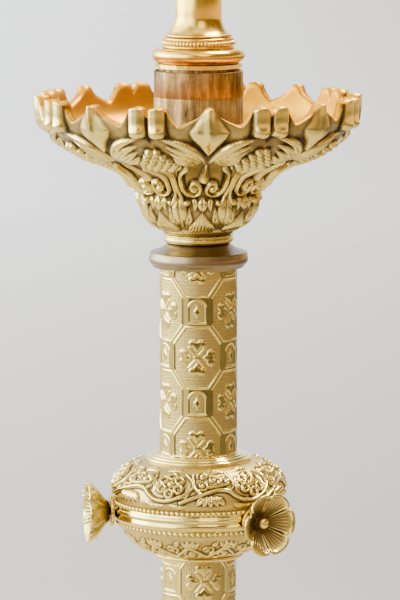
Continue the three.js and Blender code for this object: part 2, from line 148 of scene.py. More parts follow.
# ---- Relief ----
class Patch:
    """Part of a turned surface, with the height of its relief in millimetres."""

    def __init__(self, angle, along, mm_per_degree):
        self.angle = angle
        self.along = along
        self.scale = mm_per_degree
        self.height = np.zeros_like(along)

    def about(self, angle):
        """The same patch, with its angles counted from another one."""
        view = copy.copy(self)
        view.angle = self.angle - angle
        return view

    def lift(self, height):
        np.maximum(self.height, height, out=self.height)

    def sink(self, depth):
        self.height -= depth

    def scale_at(self, along):
        return float(np.interp(along, self.along[:, 0], self.scale[:, 0]))

    def distance(self, angle, along):
        return np.hypot((self.angle - angle) * self.scale, self.along - along)

    def near(self, line):
        """Distance to a line of (angle, along) points, and how far along the line that is, from 0 to 1."""
        line = np.array(line, float)
        best = np.full(self.along.shape, FAR)
        where = np.zeros(self.along.shape)
        count = len(line) - 1
        for i in range(count):
            (a0, s0), (a1, s1) = line[i], line[i + 1]
            px = (self.angle - a0) * self.scale
            py = self.along - s0
            qx = (a1 - a0) * self.scale
            qy = s1 - s0
            t = np.clip((px * qx + py * qy) / np.maximum(qx * qx + qy * qy, 1e-9), 0, 1)
            d = np.hypot(px - t * qx, py - t * qy)
            closer = d < best
            best = np.where(closer, d, best)
            where = np.where(closer, (i + t) / count, where)
        return best, where

    def cord(self, points, width, height, tail=1.0):
        """A round-backed stem through the points, that narrows to tail times its width."""
        self.stem(curve(points), width, height, tail)

    def stem(self, line, width, height, tail):
        d, t = self.near(line)
        w = width / 2 * (1 + (tail - 1) * t)
        bulge = np.sqrt(np.clip(1 - (d / w) ** 2, 0, 1))
        self.lift(height * (1 + (tail - 1) * t * 0.6) * bulge)

    def bead(self, angle, along, r, height=None):
        d = self.distance(angle, along)
        self.lift((height or r) * np.sqrt(np.clip(1 - (d / r) ** 2, 0, 1)))

    def ring(self, angle, along, r, width, height):
        d = self.distance(angle, along)
        self.lift(height * np.sqrt(np.clip(1 - ((d - r) / (width / 2)) ** 2, 0, 1)))

    def leaf(self, points, width, height, ribs=0, belly=0.45):
        """A pointed leaf through the points, widest at belly, with a sunk midrib and side ribs."""
        d, t = self.near(curve(points))
        rise = np.sin(np.pi * np.clip(t, 0, 1) ** (math.log(0.5) / math.log(belly)))
        w = np.maximum(width / 2 * rise, 1e-3)
        u = d / w
        body = np.where(u < 1, np.sqrt(np.clip(1 - u**2, 0, 1)), 0)
        crease = 1 - 0.35 * np.exp(-((d / 0.45) ** 2))
        if ribs:
            crease = crease * (0.86 + 0.14 * np.cos(2 * np.pi * (t * ribs - u * 0.9)))
        self.lift(height * body * crease * (0.35 + 0.65 * rise))

    def scroll(self, angle, along, r, turns, start, width, height, hand=1, tail=0.6):
        """A stem that winds in to a round bud at (angle, along)."""
        t = np.linspace(0, 1, int(18 * turns) + 2)
        a = np.radians(start) + hand * 2 * np.pi * turns * t
        reach = r * (1 - 0.78 * t)
        across = reach * np.cos(a) / self.scale_at(along)
        self.stem(np.column_stack([angle + across, along + reach * np.sin(a)]), width, height, tail)
        self.bead(angle, along, r * 0.3, height * 1.1)


def sector_relief(points, along, columns, sectors, draw, mirrored=True):
    """Relief drawn on one sector and repeated round the piece. Returns the columns' angles and heights."""
    per_sector = columns // sectors
    pitch = TURN / columns
    if mirrored:
        angles = (np.arange(per_sector // 2) + 0.5) * pitch
    else:
        angles = (np.arange(per_sector) + 0.5) * pitch - TURN / sectors / 2
    a, s = np.meshgrid(angles, along)
    scale = np.repeat(np.radians(points[:, :1]), len(angles), axis=1)
    patch = Patch(a, s, scale)
    draw(patch)
    height = patch.height
    if mirrored:
        height = np.hstack([height[:, ::-1], height])
    return column_angles(columns) - TURN / sectors / 2, np.tile(height, (1, sectors))


def column_angles(columns):
    return (np.arange(columns) + 0.5) * TURN / columns


def faded(height, along, start, end):
    """The relief, sinking to nothing at the face's two edges. start and end are (distance, width) there."""
    rise = step(along[0] + start[0], start[1], along)
    fall = step(along[-1] - end[0], end[1], along)
    return height * (rise * (1 - fall))[:, None]


def framed(face, height, worn_and_shaded, before=(), after=(), plain=0.85):
    """Adds plain stretches of outline before and after a face with relief."""

    def rows(stretch, value):
        return np.full((len(stretch), height.shape[1]), value)

    line = np.vstack([stretch for stretch in (before, face, after) if len(stretch)])
    lifted = np.vstack([rows(before, 0), height, rows(after, 0)])
    return line, {"height": lifted, "relief": np.vstack([rows(before, plain), worn_and_shaded, rows(after, plain)])}


def blurred(height, rows, columns):
    """The mean of the heights round each point, over that many rows and columns on each side."""
    padded = np.pad(height, ((rows, rows), (0, 0)), mode="edge")
    total = np.cumsum(np.pad(padded, ((1, 0), (0, 0))), axis=0)
    mean = (total[2 * rows + 1:] - total[: -2 * rows - 1]) / (2 * rows + 1)
    padded = np.pad(mean, ((0, 0), (columns, columns)), mode="wrap")
    total = np.cumsum(np.pad(padded, ((0, 0), (1, 0))), axis=1)
    return (total[:, 2 * columns + 1:] - total[:, : -2 * columns - 1]) / (2 * columns + 1)


def wear_and_shade(height, along, r, ground=0.42, reach=1.1, depth=0.35, high=1.2):
    """How polished each point is: dark in corners, from tarnish that no cloth reaches and from painted shade,
    matt on the ground and bright on top.
    """
    rows = max(1, int(reach / (along[1] - along[0])))
    columns = max(1, int(reach / (2 * np.pi * r / height.shape[1])))
    # painted shade: points sunk below their surroundings are darkened, as tarnish and as the shade that falls
    # in corners
    corner_tarnish_and_shade = np.clip((blurred(height, rows, columns) - height) / depth, -0.35, 1)
    return np.clip(ground + (1 - ground) * np.clip(height / high, 0, 1) - 0.75 * corner_tarnish_and_shade, 0, 1)


# ---- Meshes ----
PLAIN_SHADE = 0.7  # how worn a surface without relief is


def add_mesh(name, vertices, faces, material, attribute=None, smooth=True):
    """An object from vertices in millimetres. The attribute is one number for each vertex."""
    mesh = bpy.data.meshes.new(name)
    mesh.from_pydata((np.asarray(vertices) * MM).tolist(), [], [list(map(int, f)) for f in faces])
    mesh.polygons.foreach_set("use_smooth", [smooth] * len(mesh.polygons))
    if attribute is not None:
        layer = mesh.attributes.new("relief", "FLOAT", "POINT")
        layer.data.foreach_set("value", np.asarray(attribute, np.float32))
    mesh.materials.append(material)
    mesh.update()
    piece = bpy.data.objects.new(name, mesh)
    bpy.context.scene.collection.objects.link(piece)
    return piece


def grid_faces(rows, columns, looped):
    """Quads of a grid that closes round its columns, and round its rows too if looped."""
    r = np.arange(rows if looped else rows - 1)
    c = np.arange(columns)
    r, c = np.meshgrid(r, c, indexing="ij")
    r2 = (r + 1) % rows
    c2 = (c + 1) % columns
    quads = np.stack([r * columns + c, r * columns + c2, r2 * columns + c2, r2 * columns + c], axis=-1)
    return quads.reshape(-1, 4).tolist()


def place(piece, body, node=None):
    """Gives a piece its body, and the CAD node that it replaces."""
    if node:
        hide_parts(node)
    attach(piece, body)


def revolve(name, points, material, columns=96, z=0.0, angles=None, height=None, relief=None, centre=(0, 0)):
    """A turned solid. points go up the outside and back down the bore, or start and end on the axis.
    height, if given, is one relief value for each point and column, along the outline's normal."""
    points = np.array(points, float)
    on_axis = points[0][0] < 1e-6 and points[-1][0] < 1e-6
    if angles is None:
        angles = column_angles(columns)
    rows = points[1:-1] if on_axis else points
    side = normals(points)[1:-1] if on_axis else normals(points)
    h = np.zeros((len(rows), len(angles))) if height is None else height
    r = rows[:, :1] + side[:, :1] * h
    level = rows[:, 1:] + side[:, 1:] * h + z
    a = np.radians(angles)[None, :]
    vertices = np.stack([centre[0] + r * np.sin(a), centre[1] - r * np.cos(a), level + 0 * a], axis=-1)
    vertices = vertices.reshape(-1, 3)
    faces = grid_faces(len(rows), len(angles), not on_axis)
    shade = np.full(len(vertices), PLAIN_SHADE) if relief is None else np.asarray(relief).reshape(-1)
    if on_axis:
        n = len(angles)
        first, last = len(vertices), len(vertices) + 1
        ends = [(centre[0], centre[1], points[0][1] + z), (centre[0], centre[1], points[-1][1] + z)]
        vertices = np.vstack([vertices, ends])
        shade = np.concatenate([shade, [PLAIN_SHADE] * 2])
        base = (len(rows) - 1) * n
        faces += [(first, (i + 1) % n, i) for i in range(n)]
        faces += [(last, base + i, base + (i + 1) % n) for i in range(n)]
    return add_mesh(name, vertices, faces, material, shade)


def bead_ring(name, count, ring_r, bead_r, z, material, squash=1.0, centre=(0, 0)):
    """A row of beads round the column, as one mesh."""
    rings, sides = 6, 10
    ball, ball_faces = [], []
    for i in range(1, rings):
        v = math.pi * i / rings
        for j in range(sides):
            u = 2 * math.pi * j / sides
            ball.append((math.sin(v) * math.cos(u), math.sin(v) * math.sin(u), math.cos(v)))
    ball += [(0, 0, 1), (0, 0, -1)]
    for i in range(rings - 2):
        for j in range(sides):
            a, b = i * sides + j, i * sides + (j + 1) % sides
            ball_faces.append((a, a + sides, b + sides, b))
    south = (rings - 2) * sides
    ball_faces += [(len(ball) - 2, j, (j + 1) % sides) for j in range(sides)]
    ball_faces += [(len(ball) - 1, south + (j + 1) % sides, south + j) for j in range(sides)]
    ball = np.array(ball) * bead_r * np.array([1, 1, squash])
    vertices, faces = [], []
    for k in range(count):
        a = 2 * math.pi * k / count
        spot = np.array([centre[0] + ring_r * math.sin(a), centre[1] - ring_r * math.cos(a), z])
        faces += [tuple(v + len(ball) * k for v in f) for f in ball_faces]
        vertices.append(ball + spot)
    return add_mesh(name, np.vstack(vertices), faces, material, np.full(len(ball) * count, 0.95))


# ---- Materials ----
class Nodes:
    """A material's node tree, with short ways to add to it."""

    def __init__(self, name):
        self.material = bpy.data.materials.new(name)
        self.material.use_nodes = True
        self.tree = self.material.node_tree
        self.shader = self.tree.nodes["Principled BSDF"]
        self.place = self.add("ShaderNodeTexCoord").outputs["Object"]

    def add(self, kind, **values):
        node = self.tree.nodes.new(kind)
        for key, value in values.items():
            if key in node.inputs:
                node.inputs[key].default_value = value
            else:
                setattr(node, key, value)
        return node

    def link(self, a, b):
        self.tree.links.new(a, b)

    def noise(self, scale, detail=4.0, rough=0.55, stretch=(1, 1, 1)):
        mapping = self.add("ShaderNodeMapping")
        mapping.inputs["Scale"].default_value = stretch
        self.link(self.place, mapping.inputs["Vector"])
        node = self.add("ShaderNodeTexNoise", Scale=scale, Detail=detail, Roughness=rough)
        self.link(mapping.outputs[0], node.inputs["Vector"])
        return node.outputs["Fac"]

    def ramp(self, factor, *stops, blend="LINEAR"):
        node = self.add("ShaderNodeValToRGB")
        node.color_ramp.interpolation = blend
        elements = node.color_ramp.elements
        while len(elements) < len(stops):
            elements.new(0.5)
        for element, (position, colour) in zip(elements, stops):
            element.position = position
            element.color = (*colour, 1) if len(colour) == 3 else colour
        self.link(factor, node.inputs[0])
        return node.outputs[0]

    def level(self, factor, low, high, start=0.0, end=1.0):
        """Maps a factor from (start, end) to (low, high)."""
        node = self.add("ShaderNodeMapRange")
        node.inputs["From Min"].default_value = start
        node.inputs["From Max"].default_value = end
        node.inputs["To Min"].default_value = low
        node.inputs["To Max"].default_value = high
        self.link(factor, node.inputs["Value"])
        return node.outputs[0]

    def math(self, operation, a, b):
        node = self.add("ShaderNodeMath", operation=operation)
        for socket, value in zip(node.inputs, (a, b)):
            if isinstance(value, (int, float)):
                socket.default_value = value
            else:
                self.link(value, socket)
        return node.outputs[0]

    def mix(self, factor, a, b):
        node = self.add("ShaderNodeMix", data_type="RGBA")
        for socket, value in ((node.inputs[0], factor), (node.inputs[6], a), (node.inputs[7], b)):
            if isinstance(value, (int, float)):
                socket.default_value = value
            elif isinstance(value, tuple):
                socket.default_value = (*value, 1)
            else:
                self.link(value, socket)
        return node.outputs[2]

    def bump(self, height, strength, distance):
        node = self.add("ShaderNodeBump", Strength=strength, Distance=distance)
        self.link(height, node.inputs["Height"])
        self.link(node.outputs[0], self.shader.inputs["Normal"])


def brass(name, bright, ground, roughness, ground_roughness, grain, streak=(1, 1, 1), spots=0.25,
          plain=False):
    """Brass that is polished on its high relief, matt on its ground, and darkened in the corners
    by tarnish and painted shade. A plain one is for pieces without relief, and is rubbed in clouds."""
    n = Nodes(name)
    n.shader.inputs["Metallic"].default_value = 1.0
    if plain:
        relief = n.level(n.noise(40, 4, 0.6), 0.5, 0.95, 0.3, 0.7)
    else:
        relief = n.add("ShaderNodeAttribute", attribute_name="relief").outputs["Fac"]
    cloud = n.noise(70, 5, 0.65)
    fine = n.noise(620, 3, 0.6, streak)
    worn_and_shaded = n.math("ADD", relief, n.level(cloud, -0.09, 0.09, 0.3, 0.7))
    # the darkest stop, reached in corners, is tarnish and painted shade
    grime_and_shade = tuple(0.14 * c for c in ground)
    base = n.ramp(worn_and_shaded, (0.02, grime_and_shade), (0.36, ground), (0.75, bright))
    stain = tuple(0.55 * c for c in bright)
    base = n.mix(n.level(n.noise(130, 6, 0.7), 0, spots, 0.56, 0.72), base, stain)
    n.link(base, n.shader.inputs["Base Color"])
    rough = n.level(worn_and_shaded, ground_roughness, roughness, 0.38, 0.8)
    n.link(n.math("ADD", rough, n.level(fine, -0.03, 0.06, 0.3, 0.7)), n.shader.inputs["Roughness"])
    n.bump(fine, grain, 0.0002)
    return n.material


PALE = (0.66, 0.53, 0.15)
MATT = (0.38, 0.285, 0.10)
GROUND = (0.17, 0.115, 0.04)
GOLD = (0.72, 0.49, 0.08)
SHADED = (0.27, 0.17, 0.025)
LENGTHWISE = (1, 1, 12)  # stretch of marks that run round the piece

CAST = brass("cast_brass", PALE, GROUND, 0.2, 0.44, 0.06)
# the pan's inside is a deep orange that is partly painted warm light, as from a lamp above it
INSIDE = brass("cast_brass_inside", (0.68, 0.35, 0.002), (0.38, 0.17, 0.001), 0.42, 0.55, 0.25, spots=0.6)
EMBOSSED = brass("embossed_brass", PALE, MATT, 0.1, 0.48, 0.03)
POLISHED = brass("polished_brass", GOLD, SHADED, 0.16, 0.34, 0.02, LENGTHWISE, 0.12)
BRONZE = brass("dark_bronze", (0.22, 0.17, 0.10), (0.08, 0.06, 0.03), 0.26, 0.5, 0.03, LENGTHWISE)
CAST_PLAIN = brass("cast_brass_plain", PALE, GROUND, 0.3, 0.5, 0.06, plain=True)
EMBOSSED_PLAIN = brass("embossed_brass_plain", PALE, MATT, 0.2, 0.44, 0.04, plain=True)
POLISHED_PLAIN = brass("polished_brass_plain", GOLD, SHADED, 0.16, 0.34, 0.02, LENGTHWISE, 0.12, True)
STEEL = brass("steel", (0.5, 0.5, 0.51), (0.2, 0.2, 0.21), 0.35, 0.5, 0.06, LENGTHWISE, plain=True)


def cast_iron():
    """Rough casting with a little brown rust."""
    n = Nodes("iron")
    n.shader.inputs["Metallic"].default_value = 0.6
    pits = n.noise(700, 5, 0.7)
    colour = n.ramp(n.noise(90, 5, 0.6), (0.4, (0.035, 0.033, 0.032)), (0.7, (0.11, 0.06, 0.035)))
    n.link(colour, n.shader.inputs["Base Color"])
    n.link(n.level(pits, 0.55, 0.85), n.shader.inputs["Roughness"])
    n.bump(pits, 0.6, 0.0004)
    return n.material


IRON = cast_iron()


def patina():
    """Socket brass browned by candle heat, with fine vertical scratches and dark flecks."""
    n = Nodes("aged_brass")
    n.shader.inputs["Metallic"].default_value = 0.9
    streaks = n.noise(260, 7, 0.7, (1, 1, 0.12))
    clouds = n.noise(60, 6, 0.65)
    tone = n.math("ADD", n.math("MULTIPLY", streaks, 0.6), n.math("MULTIPLY", clouds, 0.4))
    colour = n.ramp(tone, (0.38, (0.02, 0.012, 0.004)), (0.5, (0.17, 0.10, 0.03)), (0.62, (0.38, 0.25, 0.10)))
    n.link(colour, n.shader.inputs["Base Color"])
    n.link(n.level(tone, 0.68, 0.42, 0.35, 0.65), n.shader.inputs["Roughness"])
    n.bump(streaks, 0.25, 0.0003)
    return n.material


AGED = patina()


# ---- Column tubes ----
OCTAGON_W, OCTAGON_H = 10.7, 13.6  # half sizes of a medallion
CUT_X, CUT_Y = 5.0, 5.9  # where its cut corners start
TUBE_PITCH = 42.5  # from one medallion to the next in a column
TUBE_SECTORS = 3
RELIEF_TUBE = 0.75
BAND = 0.5  # height of the polished bands above the medallions' ground
ROW = 0.31  # between two rows of the tube's mesh


WINDOW_HALF_W, WINDOW_SILL, ARCH_Z = 3.5, 4.6, 1.4  # an arched window, from its own middle
HATCH_PITCH = 0.8  # of the fine crossed lines on the medallions' ground


def tube_pattern(patch, first):
    """Octagonal medallions with a four-hearted flower, and small arched windows between them."""
    outside = np.full(patch.along.shape, FAR)
    glass = np.full(patch.along.shape, FAR)
    motif = np.zeros_like(patch.along)
    cut_w, cut_h = OCTAGON_W - CUT_X, OCTAGON_H - CUT_Y
    for k in (-1, 0, 1):
        u = (patch.angle - k * TURN / 6) * patch.scale
        v = (patch.along - first - (TUBE_PITCH / 2) * (k % 2)) / TUBE_PITCH
        v = (v - np.round(v)) * TUBE_PITCH
        across = np.abs(u)
        up = np.abs(v)
        corner = ((across - OCTAGON_W) * cut_h + (up - CUT_Y) * cut_w) / np.hypot(cut_w, cut_h)
        octagon = np.maximum(np.maximum(across - OCTAGON_W, up - OCTAGON_H), corner)
        outside = np.minimum(outside, octagon)
        motif = np.maximum(motif, quatrefoil(u, v))
        w = np.where(v > 0, v - TUBE_PITCH / 2, v + TUBE_PITCH / 2)
        arch = np.hypot(across, np.maximum(w - ARCH_Z, 0) * 1.05) - WINDOW_HALF_W
        pane = np.maximum(np.maximum(arch, -w - WINDOW_SILL), across - WINDOW_HALF_W)
        between = up > OCTAGON_H
        glass = np.minimum(glass, np.where(between, pane, FAR))
        motif = np.maximum(motif, np.where((across < 4) & between, window(u, w), 0))
    lines = 2 * np.pi / HATCH_PITCH
    hatch = 0.09 * (np.sin(patch.angle * patch.scale * lines) + np.sin(patch.along * lines))
    edge = np.minimum(outside, glass)
    band = BAND * step(0.15, 0.5, edge)
    rim = 0.22 * np.exp(-(((edge - 0.45) / 0.32) ** 2))
    patch.lift(np.where(edge < 0, np.maximum(0.1 + hatch, motif), band + rim))


def heart(t, across):
    """A polished heart with its point towards the flower's middle; t runs outwards."""
    side = np.abs(across)
    wedge = np.where(t < 7.2, ((t - 2.0) * 0.86 - side) * 0.76, -1)
    lobe = 2.2 - np.hypot(t - 6.4, side - 1.95)
    inside = np.maximum(wedge, lobe)
    return 0.55 * step(0.3, 0.6, inside) + 0.15 * np.clip(inside / 2, 0, 1)


def quatrefoil(u, v):
    """Four hearts, crossed ribs between them and a round boss."""
    hearts = np.maximum(np.maximum(heart(v, u), heart(-v, u)), np.maximum(heart(u, v), heart(-u, v)))
    rib = np.abs(np.abs(u) * 0.78 - np.abs(v) * 0.63)
    reach = np.hypot(u, v)
    ribs = 0.5 * np.sqrt(np.clip(1 - (rib / 0.7) ** 2, 0, 1)) * (reach < 6.4)
    boss = 0.62 * np.sqrt(np.clip(1 - (reach / 1.9) ** 2, 0, 1))
    return np.maximum(np.maximum(hearts, ribs), boss)


def window(u, w):
    """What shows inside a small arched window: a lozenge with a ridge down it."""
    lozenge = np.clip(1 - np.abs(u) / 2.1 - np.abs(w) / 3.4, 0, 1)
    return 0.42 * np.clip(lozenge * 2.4, 0, 1) + 0.12 * np.exp(-((u / 0.4) ** 2)) * (lozenge > 0)


def column_tube(name, node, first, turn, r=TUBE_R):
    low, high = bottom(node), top(node)
    face, along = resample([(r - RELIEF_TUBE, 0), (r - RELIEF_TUBE, high - low)], int((high - low) / ROW))

    def draw(patch):
        tube_pattern(patch, first - low)

    angles, height = sector_relief(face, along, 480, TUBE_SECTORS, draw, False)
    height[along < 0.8] = 0.55
    worn_and_shaded = wear_and_shade(height, along, r, 0.34, 0.6, 0.5, BAND)
    line, relief = framed(face, height, worn_and_shaded, after=[(r - 2, high - low), (r - 2, 0)], plain=0.6)
    place(revolve(name, line, EMBOSSED, z=low, angles=angles + turn, **relief), STAND, node)


# ---- Knop ----
def petal_flower(patch, along, r, height=1.5, petals=6):
    """An open flower: dished round petals with raised rims, round a bead."""
    k = patch.scale_at(along)
    for i in range(petals):
        a = math.radians(90 + TURN / petals * i)
        spot = (0.63 * r * math.cos(a) / k, along + 0.63 * r * math.sin(a))
        patch.bead(*spot, r * 0.34, height * 0.35)
        patch.ring(*spot, r * 0.25, r * 0.2, height)
    patch.bead(0, along, r * 0.27, height * 1.2)


def stipple(patch, height, depth, pitch):
    """A ground of fine dimples."""
    return height + depth * np.sin(patch.angle * patch.scale * pitch) * np.sin(patch.along * pitch)


def knop_upper_pattern(whole):
    """Flowers on an undulating vine, with curls, trefoils and a five-lobed leaf hanging over the beads."""
    for at in (-60, 0, 60):
        petal_flower(whole.about(at), 12.8, 6.9, 1.9)
    for at in (-60, 0):
        patch = whole.about(at)
        patch.cord([(8, 4.6), (16, 6.8), (29, 9.8), (35, 10.5), (41, 9.8), (46, 7.2), (52, 5.4), (60, 5.4),
                    (69, 7.6)], 1.8, 1.7)
        patch.cord([(69, 7.6), (76, 11.5), (75, 15.6), (70, 19.4)], 1.5, 1.4, 0.6)
        patch.cord([(22, 8.6), (17.4, 12), (15.4, 19)], 1.5, 1.5, 0.7)
        patch.cord([(41, 9.8), (45.4, 12), (45.8, 16), (43, 20)], 1.4, 1.4, 0.6)
        patch.scroll(23, 13.0, 2.7, 1.3, -120, 1.1, 1.4, 1)
        patch.cord([(26, 11.9), (34, 12.4), (42, 13.5)], 1.1, 1.3)
        for lobe in ((42.4, 15.3), (39.0, 16.9), (36.4, 15.0)):
            patch.bead(*lobe, 1.5, 1.3)
        patch.scroll(23.5, 18.4, 2.7, 1.3, 200, 1.0, 1.3, -1)
        patch.scroll(31, 16.0, 1.9, 1.2, 40, 0.9, 1.2, 1)
        for points, width, height, ribs in (
            ([(28, 20.4), (36, 21.6), (45, 20.6)], 3.2, 1.2, 4),
            ([(51, 21.2), (60, 22.6), (69, 21.2)], 3.0, 1.1, 5),
            ([(8, 4.0), (12, 9), (13.6, 16)], 2.6, 1.1, 4),
            ([(48, 8.6), (48.6, 13), (50, 18.6)], 2.8, 1.2, 4),
            ([(42, 4.6), (49, 2.6), (58, 3.2)], 2.4, 1.0, 5),
            ([(60, 3.4), (67, 2.4), (74, 3.2)], 2.2, 1.0, 4),
        ):
            patch.leaf(points, width, height, ribs)
        for out in (-2, -1, 0, 1, 2):
            lobe = [(28 + 2.1 * out, 8.4 - 0.35 * abs(out)), (28 + 4.8 * out, 2.2 + 0.5 * abs(out))]
            patch.leaf(lobe, 3.0, 1.5)
    whole.lift(stipple(whole, 0.12, 0.07, 5.2))


def knop_lower_pattern(whole):
    """A frieze of scrolls and pointed leaves between the lip and the beads."""
    for at in (-30, 0, 30):
        patch = whole.about(at)
        patch.cord([(-15, 9), (-8, 13), (0, 9.4), (8, 5.6), (15, 9)], 1.5, 1.2)
        patch.scroll(-7, 8.0, 3.0, 1.2, 120, 1.1, 1.1, 1)
        patch.scroll(7.5, 11.8, 3.2, 1.2, -60, 1.1, 1.1, 1)
        for tip in ((-14, 17.2), (-9.5, 18.4), (-4.5, 18.0), (0.5, 17)):
            patch.leaf([(-5, 12.2), tip], 2.9, 1.1)
        for tip in ((1.5, 3.0), (7, 2.2), (12, 3.0)):
            patch.leaf([(3, 7), tip], 2.8, 1.1)
        patch.leaf([(11, 14), (15, 18)], 2.6, 1.1)
        patch.leaf([(-10, 4.5), (-15.5, 2.4)], 2.6, 1.1)
    whole.lift(stipple(whole, 0.1, 0.05, 5.0))


KNOP_FLOWERS = 6
FLOWER_AT = -20  # the first flower's angle
KNOP_COLUMNS = 960


def knop():
    knop_upper()
    knop_lower()
    knop_band()


def knop_upper():
    upper = curve([(39.0, 5.6), (40.2, 9.2), (38.6, 14.2), (34.6, 18.8), (29.0, 22.4), (24.4, 23.6)], 12)
    lip = outline(
        arc(23.9, 24.5, 1.0, -40, 110, 6), arc(22.1, 25.5, 0.95, 0, 110, 6),
        arc(20.3, 26.2, 0.85, 10, 110, 5), [(19.0, 26.9), (18.3, 27.2), (18.3, 24.6), (21.4, 22.2)],
        [(28.4, 20.6), (33.6, 17.4), (37, 13), (37, 5.6)],
    )
    face, along = resample(upper, 116)
    angles, height = sector_relief(face, along, KNOP_COLUMNS, KNOP_FLOWERS, knop_upper_pattern, False)
    height = faded(height, along, (0.9, 1.2), (1.0, 1.6))
    line, relief = framed(face, height, wear_and_shade(height, along, 34), after=lip)
    piece = revolve("knop_upper", line, EMBOSSED, z=KNOP_Z, angles=angles + FLOWER_AT, **relief)
    place(piece, STAND, "knop_upper_shell")


def knop_lower():
    lower = curve([(21.6, -19.4), (26.6, -16.9), (31.8, -12.9), (35.2, -9.2), (36.8, -6.2)], 12)
    foot_line = outline([(34.6, -6.2), (31, -11), (26, -14.8), (18.3, -17.6), (18.3, -21.9)],
                        arc(19.9, -20.7, 1.2, -90, 70, 8))
    face, along = resample(lower, 70)
    angles, height = sector_relief(face, along, KNOP_COLUMNS, 2 * KNOP_FLOWERS, knop_lower_pattern, False)
    height = faded(height, along, (0.9, 1.2), (0.8, 1.2))
    line, relief = framed(face, height, wear_and_shade(height, along, 32), before=foot_line)
    place(revolve("knop_lower", line, EMBOSSED, z=KNOP_Z, angles=angles, **relief), STAND, "knop_lower_shell")


def knop_band():
    columns = 192
    band = outline(
        [(34, -6.3), (36.9, -6.3)], arc(37.3, -5.0, 0.7, -80, 60, 5), [(38.3, -4.1), (38.7, -4.0)],
        curve([(38.9, -3.9), (39.9, -2.2), (39.6, -0.6)], 5), [(39.2, -0.3), (39.3, 0.2)],
        curve([(39.9, 0.5), (40.2, 1.4), (39.8, 2.3)], 5),
        [(39.3, 2.5), (39.4, 3.4), (39.2, 3.7), (38.8, 4.1)],
        arc(38.6, 5.0, 0.6, -60, 90, 5), [(34, 5.7)],
    )
    relief = np.repeat(step(38.4, 1.6, band[:, :1]) * 0.5 + 0.45, columns, axis=1)
    place(revolve("knop_band", band, EMBOSSED, columns, KNOP_Z, relief=relief), STAND, "knop_band")
    for name, count, ring_r, level in (("upper", 104, 39.5, 4.7), ("lower", 92, 37.8, -5.1)):
        place(bead_ring(f"knop_beads_{name}", count, ring_r, 1.1, KNOP_Z + level, EMBOSSED), STAND)


# ---- Rosettes ----
ROSETTE_R = 14.6
PETALS = 6
SCREW_R, SCREW_LENGTH = 2.0, 18
BOSS_R, BOSS_Z = 3.1, 4.6
SEAT_R = 42.2  # where a rosette's back stands, from the column's axis
WASHER_BACK = 1.9  # from there in to the washer's back


def rosette_face(r, a):
    """Height of the flower's front, and how rubbed and shaded it is, at a share r of its reach and an angle
    a.
    """
    petal = from_petal(a)
    outer = step(0.35, 0.2, r)
    edge = np.exp(-(((r - 0.93) / 0.05) ** 2))
    side = np.exp(-(((petal - 0.84) / 0.08) ** 2)) * outer
    valley = np.exp(-(((petal - 1.0) / 0.07) ** 2)) * step(0.3, 0.2, r)
    bulge = np.cos(petal * np.pi / 2) * step(0.55, 0.5, r) * (1 - step(0.92, 0.2, r))
    ribs = np.cos(np.radians(a) * 7 * PETALS) * step(0.3, 0.2, r) * (1 - step(0.82, 0.2, r))
    height = cup(r) + 0.7 * edge + 0.6 * side - 1.2 * valley + 0.7 * bulge + 0.24 * ribs
    # darker in the valleys between petals and towards the dish's middle: painted shade with tarnish; brighter
    # on the raised edges
    worn_and_shaded = 0.12 + 0.36 * r + 0.5 * edge + 0.3 * side + 0.1 * bulge + 0.12 * ribs - 0.5 * valley
    return height, np.clip(worn_and_shaded, 0, 1)


def from_petal(a):
    """0 on a petal's middle line and 1 half way to the next one."""
    return np.abs(((a / (TURN / PETALS) + 0.5) % 1) - 0.5) * 2


def cup(r):
    """Depth of the flower's dish, as the height of its front at a share r of its reach."""
    return 1.8 + 8.4 * r**1.5


def rosette_axis(number):
    joint = next(j for j in frame["record"]["behaviour"]["joints"] if j["child"] == f"rosette_{number}")
    return Vector(joint["axis"]).normalized()


def rosette(number):
    """Rings of points from the boss's top out over the petals' front, round the lip and back to the screw."""
    around = np.arange(216) * TURN / 216
    n = len(around)
    petal = from_petal(around)
    reach = ROSETTE_R * (1 - 0.13 * petal**3.2 - 0.04 * np.exp(-(((petal - 1) / 0.1) ** 2)))
    boss = np.radians(range(5, 106, 20))
    rings = [(BOSS_R * math.sin(t), BOSS_Z + 2.8 * math.cos(t), 1.0) for t in boss]
    boss_top = rings[0][1]
    rings += [(reach * share, *rosette_face(share, around)) for share in np.linspace(0.2, 1, 44)]
    lip = rosette_face(1, around)[0]
    rings += [(reach * 1.02, lip - 0.6, 0.9), (reach * 0.99, lip - 1.4, 0.8)]
    rings += [(reach * share, max(cup(share) - 2.2, 0.3), 0.6) for share in (0.9, 0.75, 0.6, 0.48)]
    rings += [(r, h, 0.5) for r, h in ((4.6, 0), (SCREW_R, 0), (SCREW_R, -SCREW_LENGTH))]

    axis = rosette_axis(number)
    up = Vector((0, 0, 1))
    side = up.cross(axis).normalized()
    seat = axis * SEAT_R + up * KNOP_Z
    turn = np.radians(around)
    vertices, shade = [], []
    for r, h, worn_and_shaded in rings:
        rows = [(np.cos(turn) * r)[:, None] * side, (np.sin(turn) * r)[:, None] * up]
        vertices.append(np.array(seat) + (h + 0 * turn)[:, None] * axis + rows[0] + rows[1])
        shade.append(worn_and_shaded + 0 * turn)
    vertices += [np.array([seat + axis * boss_top]), np.array([seat - axis * SCREW_LENGTH])]
    shade.append([0.9, 0.9])
    first, last = len(rings) * n, len(rings) * n + 1
    base_row = (len(rings) - 1) * n
    faces = [f[::-1] for f in grid_faces(len(rings), n, False)]
    faces += [(first, i, (i + 1) % n) for i in range(n)]
    faces += [(base_row + (i + 1) % n, base_row + i, last) for i in range(n)]
    piece = add_mesh(f"rosette_{number}", np.vstack(vertices), faces, CAST, np.concatenate(shade))
    place(piece, f"rosette_{number}", f"rosette_screw_{number}")


